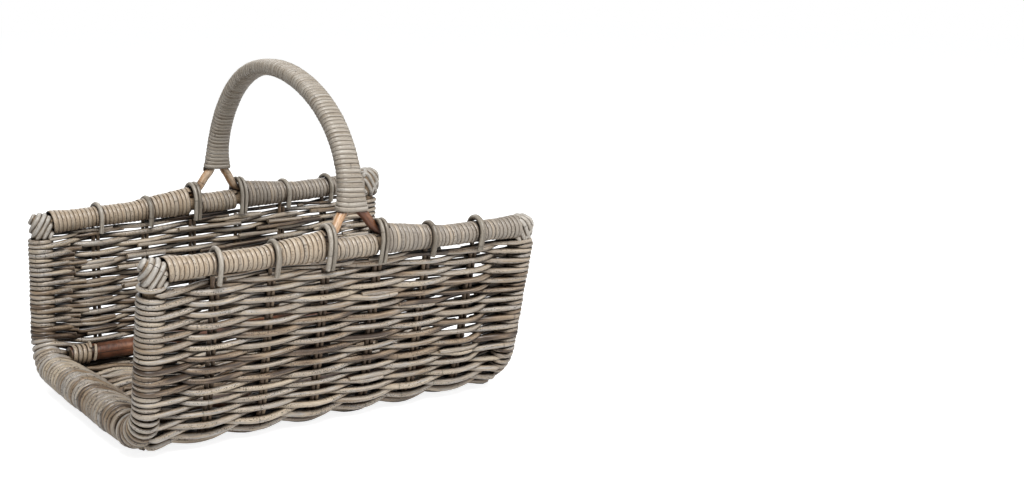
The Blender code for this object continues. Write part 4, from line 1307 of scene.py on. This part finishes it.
for hand, word in HANDS:
    angles = [math.pi * (1 - i / CANE_STEPS) for i in range(1, CANE_STEPS)]
    crown = [handle_point(angle) + ALONG * hand * half_spread(angle) for angle in angles]
    line = leg(-1, hand) + crown + leg(1, hand)[::-1]
    thick = [CANE_TIP] + [SHOWN_CANE_RADIUS] * (len(line) - 2) + [CANE_TIP]
    half = len(line) // 2
    cane = rods("handle_cane_" + word + "_rod",
                [(line[:half + 1], thick[:half + 1], LEG_TINTS[hand][0]),
                 (line[half:], thick[half:], LEG_TINTS[hand][1])], HONEY_CANE,
                step=0.004, sides=16, wander=0.0002, unevenness=0.1, seed=31)
    settle(cane, "honey_cane", "handle_cane_" + word)

# %% [markdown]
# The winding round both canes has a flat section with rounded corners, which widens at the feet,
# where the canes part under it. The winding tree takes any core, so it winds the handle as it does
# the rails.

# %% Handle winding
HANDLE_PITCH = 0.0053
HANDLE_STRAND = (0.0064, 0.0030)
HANDLE_SQUARENESS = 0.72
HANDLE_LOOP_POINTS = 28
FOOT_FLARE = 0.0016
FLARE_POWER = 9
HANDLE_EXTRA = (0.0008, 0.0022)
ARCH_STEPS = 120
ARCH_LOOK = 0.01

arch = []
for angle in [math.pi * (1 - i / ARCH_STEPS) for i in range(ARCH_STEPS + 1)]:
    step = handle_point(angle - ARCH_LOOK) - handle_point(angle + ARCH_LOOK)
    flare = FOOT_FLARE * (1 - math.sin(angle)) ** FLARE_POWER
    arch.append((handle_point(angle), ALONG, ALONG.cross(step.normalized()),
                 half_spread(angle) + flare + CANE_RADIUS + HANDLE_EXTRA[0],
                 CANE_RADIUS + HANDLE_EXTRA[1]))
handle = winding("handle_winding", [arch], GREY_CANE, HANDLE_PITCH, *HANDLE_STRAND,
                 squareness=HANDLE_SQUARENESS, points_per_loop=HANDLE_LOOP_POINTS)
settle(handle, "grey_winding", "handle_winding_front", "handle_winding_back")

# %% [markdown]
# A cap covers each joint of rail and post. It has the shape of a block with rounded edges. The
# strands are laid on it by looking outwards from the joint and finding where the block ends, which
# halves the distance between a place inside and a place outside again and again.

# %% The block under a cap
CAP_HALF = (0.0124, 0.0126, 0.0168)
CAP_LOW = 0.0050
CAP_SHIFTS = {-1: 0.0012, 1: -0.0050}
FAR_CAP_SIZE = 1.18
FAR_CAP_RISE = 0.0035
BLOCK_POWER = 3.6
BLOCK_REACH = 0.06
SEARCH_STEPS = 24


def block_reach(start, way):
    """Distance from a point to the surface of the rounded block, along a way."""
    near, far = 0.0, BLOCK_REACH
    for _ in range(SEARCH_STEPS):
        half = (near + far) / 2
        p = start + way * half
        if sum(abs(p[i] / CAP_HALF[i]) ** BLOCK_POWER for i in range(3)) < 1:
            near = half
        else:
            far = half
    return near


def cap_place(side, hand, p):
    """A place on a cap, given along the rail, outwards and up from the joint."""
    joint = rail_point(side, hand * HALF_LENGTH + CAP_SHIFTS[hand]) - wall_up(side) * CAP_LOW
    if side > 0 and hand > 0:
        joint += Vector((-CAP_SHIFTS[hand], 0, FAR_CAP_RISE))
        p = p * FAR_CAP_SIZE
    return joint + Vector((p.x, 0, 0)) + wall_out(side) * p.y + wall_up(side) * p.z


for side, label in SIDES:
    for hand, word in HANDS:
        middle = cap_place(side, hand, Vector())
        print(label, word, "cap at", [round(c, 4) for c in middle])

# %% [markdown]
# Strands run slantwise round rail and post, from the inside of the rail to the outside of the
# post, and under them on the right hand caps a few run the other way. A dark core of the block's
# shape closes what is left between the strands. A real cap is woven from a single strand. Closed
# loops look much the same and are easier to place.

# %% Corner caps
LOOP_STEPS = 32
CAP_STRAND = 0.0035
CAP_STRAND_SPREAD = 0.00015
CAP_TINTS = (0.45, 1)
SLOPE_SHARES = (1.7, 0.8, 1.0)
LAID = (-0.0152, -0.0092, -0.0031, 0.0031, 0.0092, 0.0152)
LAID_SUNK = 0.00136
UNDER = (-0.0095, 0.0095)
UNDER_SUNK = 0.0017
CORE_SUBDIVISIONS = 3


def cap_loops(side, hand, slant, offsets, sunk):
    """Loops round the joint in slanting planes, each at its own offset from the block's middle."""
    along, aside, upward = SLOPE_SHARES
    normal = Vector((-hand * slant * along, -side * aside, -upward)).normalized()
    first = normal.orthogonal().normalized()
    second = normal.cross(first)
    loops = []
    for offset in offsets:
        points = []
        for angle in [2 * math.pi * i / LOOP_STEPS for i in range(LOOP_STEPS + 1)]:
            way = first * math.cos(angle) + second * math.sin(angle)
            reach = block_reach(normal * offset, way) - sunk
            points.append(cap_place(side, hand, normal * offset + way * reach))
        loops.append((points, RANDOM.gauss(CAP_STRAND, CAP_STRAND_SPREAD),
                      RANDOM.uniform(*CAP_TINTS)))
    return loops


def add_core(cap, side, hand):
    """Put a dark rounded block inside the strands of a cap, in the same mesh."""
    shape = bmesh.new()
    shape.from_mesh(cap.data)
    before = len(shape.faces)
    ball = bmesh.ops.create_icosphere(shape, subdivisions=CORE_SUBDIVISIONS, radius=1)
    for vert in ball["verts"]:
        way = vert.co.normalized()
        vert.co = cap_place(side, hand, way * block_reach(Vector(), way))
    shape.faces.ensure_lookup_table()
    block = shape.faces[before:]
    bmesh.ops.recalc_face_normals(shape, faces=block)
    for face in block:
        face.material_index = 1
        face.smooth = True
    shape.to_mesh(cap.data)
    shape.free()
    cap.data.materials.append(BARK)


for side, label in SIDES:
    for hand, word in HANDS:
        under = cap_loops(side, hand, -1, UNDER, UNDER_SUNK) if hand > 0 else []
        laid = cap_loops(side, hand, 1, LAID, LAID_SUNK)
        cap = rods(f"{label}_{word}_cap_weave", under + laid, GREY_CANE, step=0.002,
                   wander=0.0003, seed=50)
        add_core(cap, side, hand)
        settle(cap, "grey_winding", f"{label}_{word}_cap")

# %% [markdown]
# The base poles keep their bark. They lie in the corners between walls and floor, a little longer
# than in the solid model. Cane is wound round their ends, and its own ends stick out there. They
# are made by the same tree as the thin rods, with a round of more sides because they are thick.

# %% Base poles and their bindings
POLE_EXTRA = 0.012
POLE_STEPS = 24
POLE_TINT = 0.4
BINDING_START = 0.001
BINDING_RUN = 0.025
BINDING_STEPS = 6
BINDING_LEAN = 0.25
BINDING_PITCH = 0.0064
BINDING_WIDTH = 0.0062
BINDING_THICKNESS = 0.0026
BINDING_UNEVENNESS = 0.16
LOOSE_ENDS = ((0.9, 0.030), (2.1, 0.034))
LOOSE_TURN = 1.5
LOOSE_DRIFT = 0.004
LOOSE_LIFTS = (0.6, 0.5)
LOOSE_STEPS = 8
LOOSE_TINT = 0.4
LOOSE_RADIUS = BINDING_WIDTH * 0.36


def loose_ends(tip, inward):
    """Two rough ends of the binding that stick out beside its last loop."""
    ends = []
    for turn, run in LOOSE_ENDS:
        points = []
        for share in [i / LOOSE_STEPS for i in range(LOOSE_STEPS + 1)]:
            angle = turn + LOOSE_TURN * share
            lift = LOOSE_LIFTS[0] + LOOSE_LIFTS[1] * share
            out = BASE_POLE_RADIUS + BINDING_THICKNESS * lift
            points.append(tip + Vector((inward * (run - LOOSE_DRIFT * share),
                                        math.cos(angle) * out, math.sin(angle) * out)))
        ends.append((points, LOOSE_RADIUS, LOOSE_TINT))
    return ends


for _, label in SIDES:
    low, high = [Vector(corner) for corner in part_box(label + "_base_pole")]
    middle = (low + high) / 2
    start = Vector((low.x - POLE_EXTRA, middle.y, middle.z))
    end = Vector((high.x + POLE_EXTRA, middle.y, middle.z))
    line = [start.lerp(end, i / POLE_STEPS) for i in range(POLE_STEPS + 1)]
    pole = rods(label + "_bark_pole", [(line, BASE_POLE_RADIUS, POLE_TINT)], BARK, step=0.003,
                sides=32, wander=0.0, unevenness=0.10, seed=61)
    settle(pole, "bark_pole", label + "_base_pole")
    stretches = [[(tip + ALONG * inward * (BINDING_START + BINDING_RUN * i / BINDING_STEPS),
                   ACROSS, Vector((inward * BINDING_LEAN, 0, 1)).normalized(),
                   BASE_POLE_RADIUS, BASE_POLE_RADIUS) for i in range(BINDING_STEPS + 1)]
                 for tip, inward in ((start, 1), (end, -1))]
    binding = winding(label + "_pole_binding", stretches, PALE_CANE, BINDING_PITCH, BINDING_WIDTH,
                      BINDING_THICKNESS, unevenness=BINDING_UNEVENNESS)
    settle(binding, "pale_winding", label + "_pole_binding_left", label + "_pole_binding_right")
    tails = rods(label + "_binding_ends", loose_ends(start, 1) + loose_ends(end, -1), PALE_CANE,
                 step=0.002, seed=64)
    settle(tails, "pale_winding")

# %% [markdown]
# The poles of the frames, the rails and the nails keep the solid model's shapes. They lie under
# the weave and show only through small gaps, in peeled wood and bare steel. Both finishes are one
# recipe: a noise that is stretched along the wood's fibres, and even in steel.

# %% Finishes of the carried-over solids
WOOD_GRAIN = (30, 240, 240)
STEEL_GRAIN = (900, 900, 900)
GRAIN_DEPTH = 0.0005


def grained_finish(name, grain, detail, stops, roughness, metallic, bump):
    """Wood or steel with a grain along the object's X axis."""
    made, tree, shader = new_finish(name)
    place = add(tree, "ShaderNodeTexCoord")["Object"]
    place = add(tree, "ShaderNodeMapping", {"Vector": place, "Scale": grain})[0]
    fibres = add(tree, "ShaderNodeTexNoise", {"Vector": place, "Scale": 1.0, "Detail": detail})[0]
    relief = add(tree, "ShaderNodeBump", {"Height": fibres, "Strength": bump,
                                          "Distance": GRAIN_DEPTH})[0]
    fill(tree, shader, {"Base Color": ramp(tree, fibres, stops), "Roughness": roughness,
                        "Metallic": metallic, "Normal": relief})
    return made


PEELED = grained_finish("peeled pole wood", WOOD_GRAIN, 4.0, [
    (0.3, (0.13, 0.085, 0.05)), (0.7, (0.33, 0.24, 0.15))], 0.7, 0.0, 0.3)
STEEL = grained_finish("nail steel finish", STEEL_GRAIN, 2.0, [
    (0.35, (0.16, 0.14, 0.12)), (0.7, (0.42, 0.41, 0.40))], 0.4, 1.0, 0.0)
for names, finish in ((("left_end_frame", "right_end_frame", "front_rail", "back_rail"), PEELED),
                      (("front_left_nail", "front_right_nail", "back_left_nail",
                        "back_right_nail"), STEEL)):
    for name in names:
        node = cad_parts[name]
        node.data.materials.clear()
        node.data.materials.append(finish)
print("carried over:", [n for n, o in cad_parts.items() if not o.hide_render])
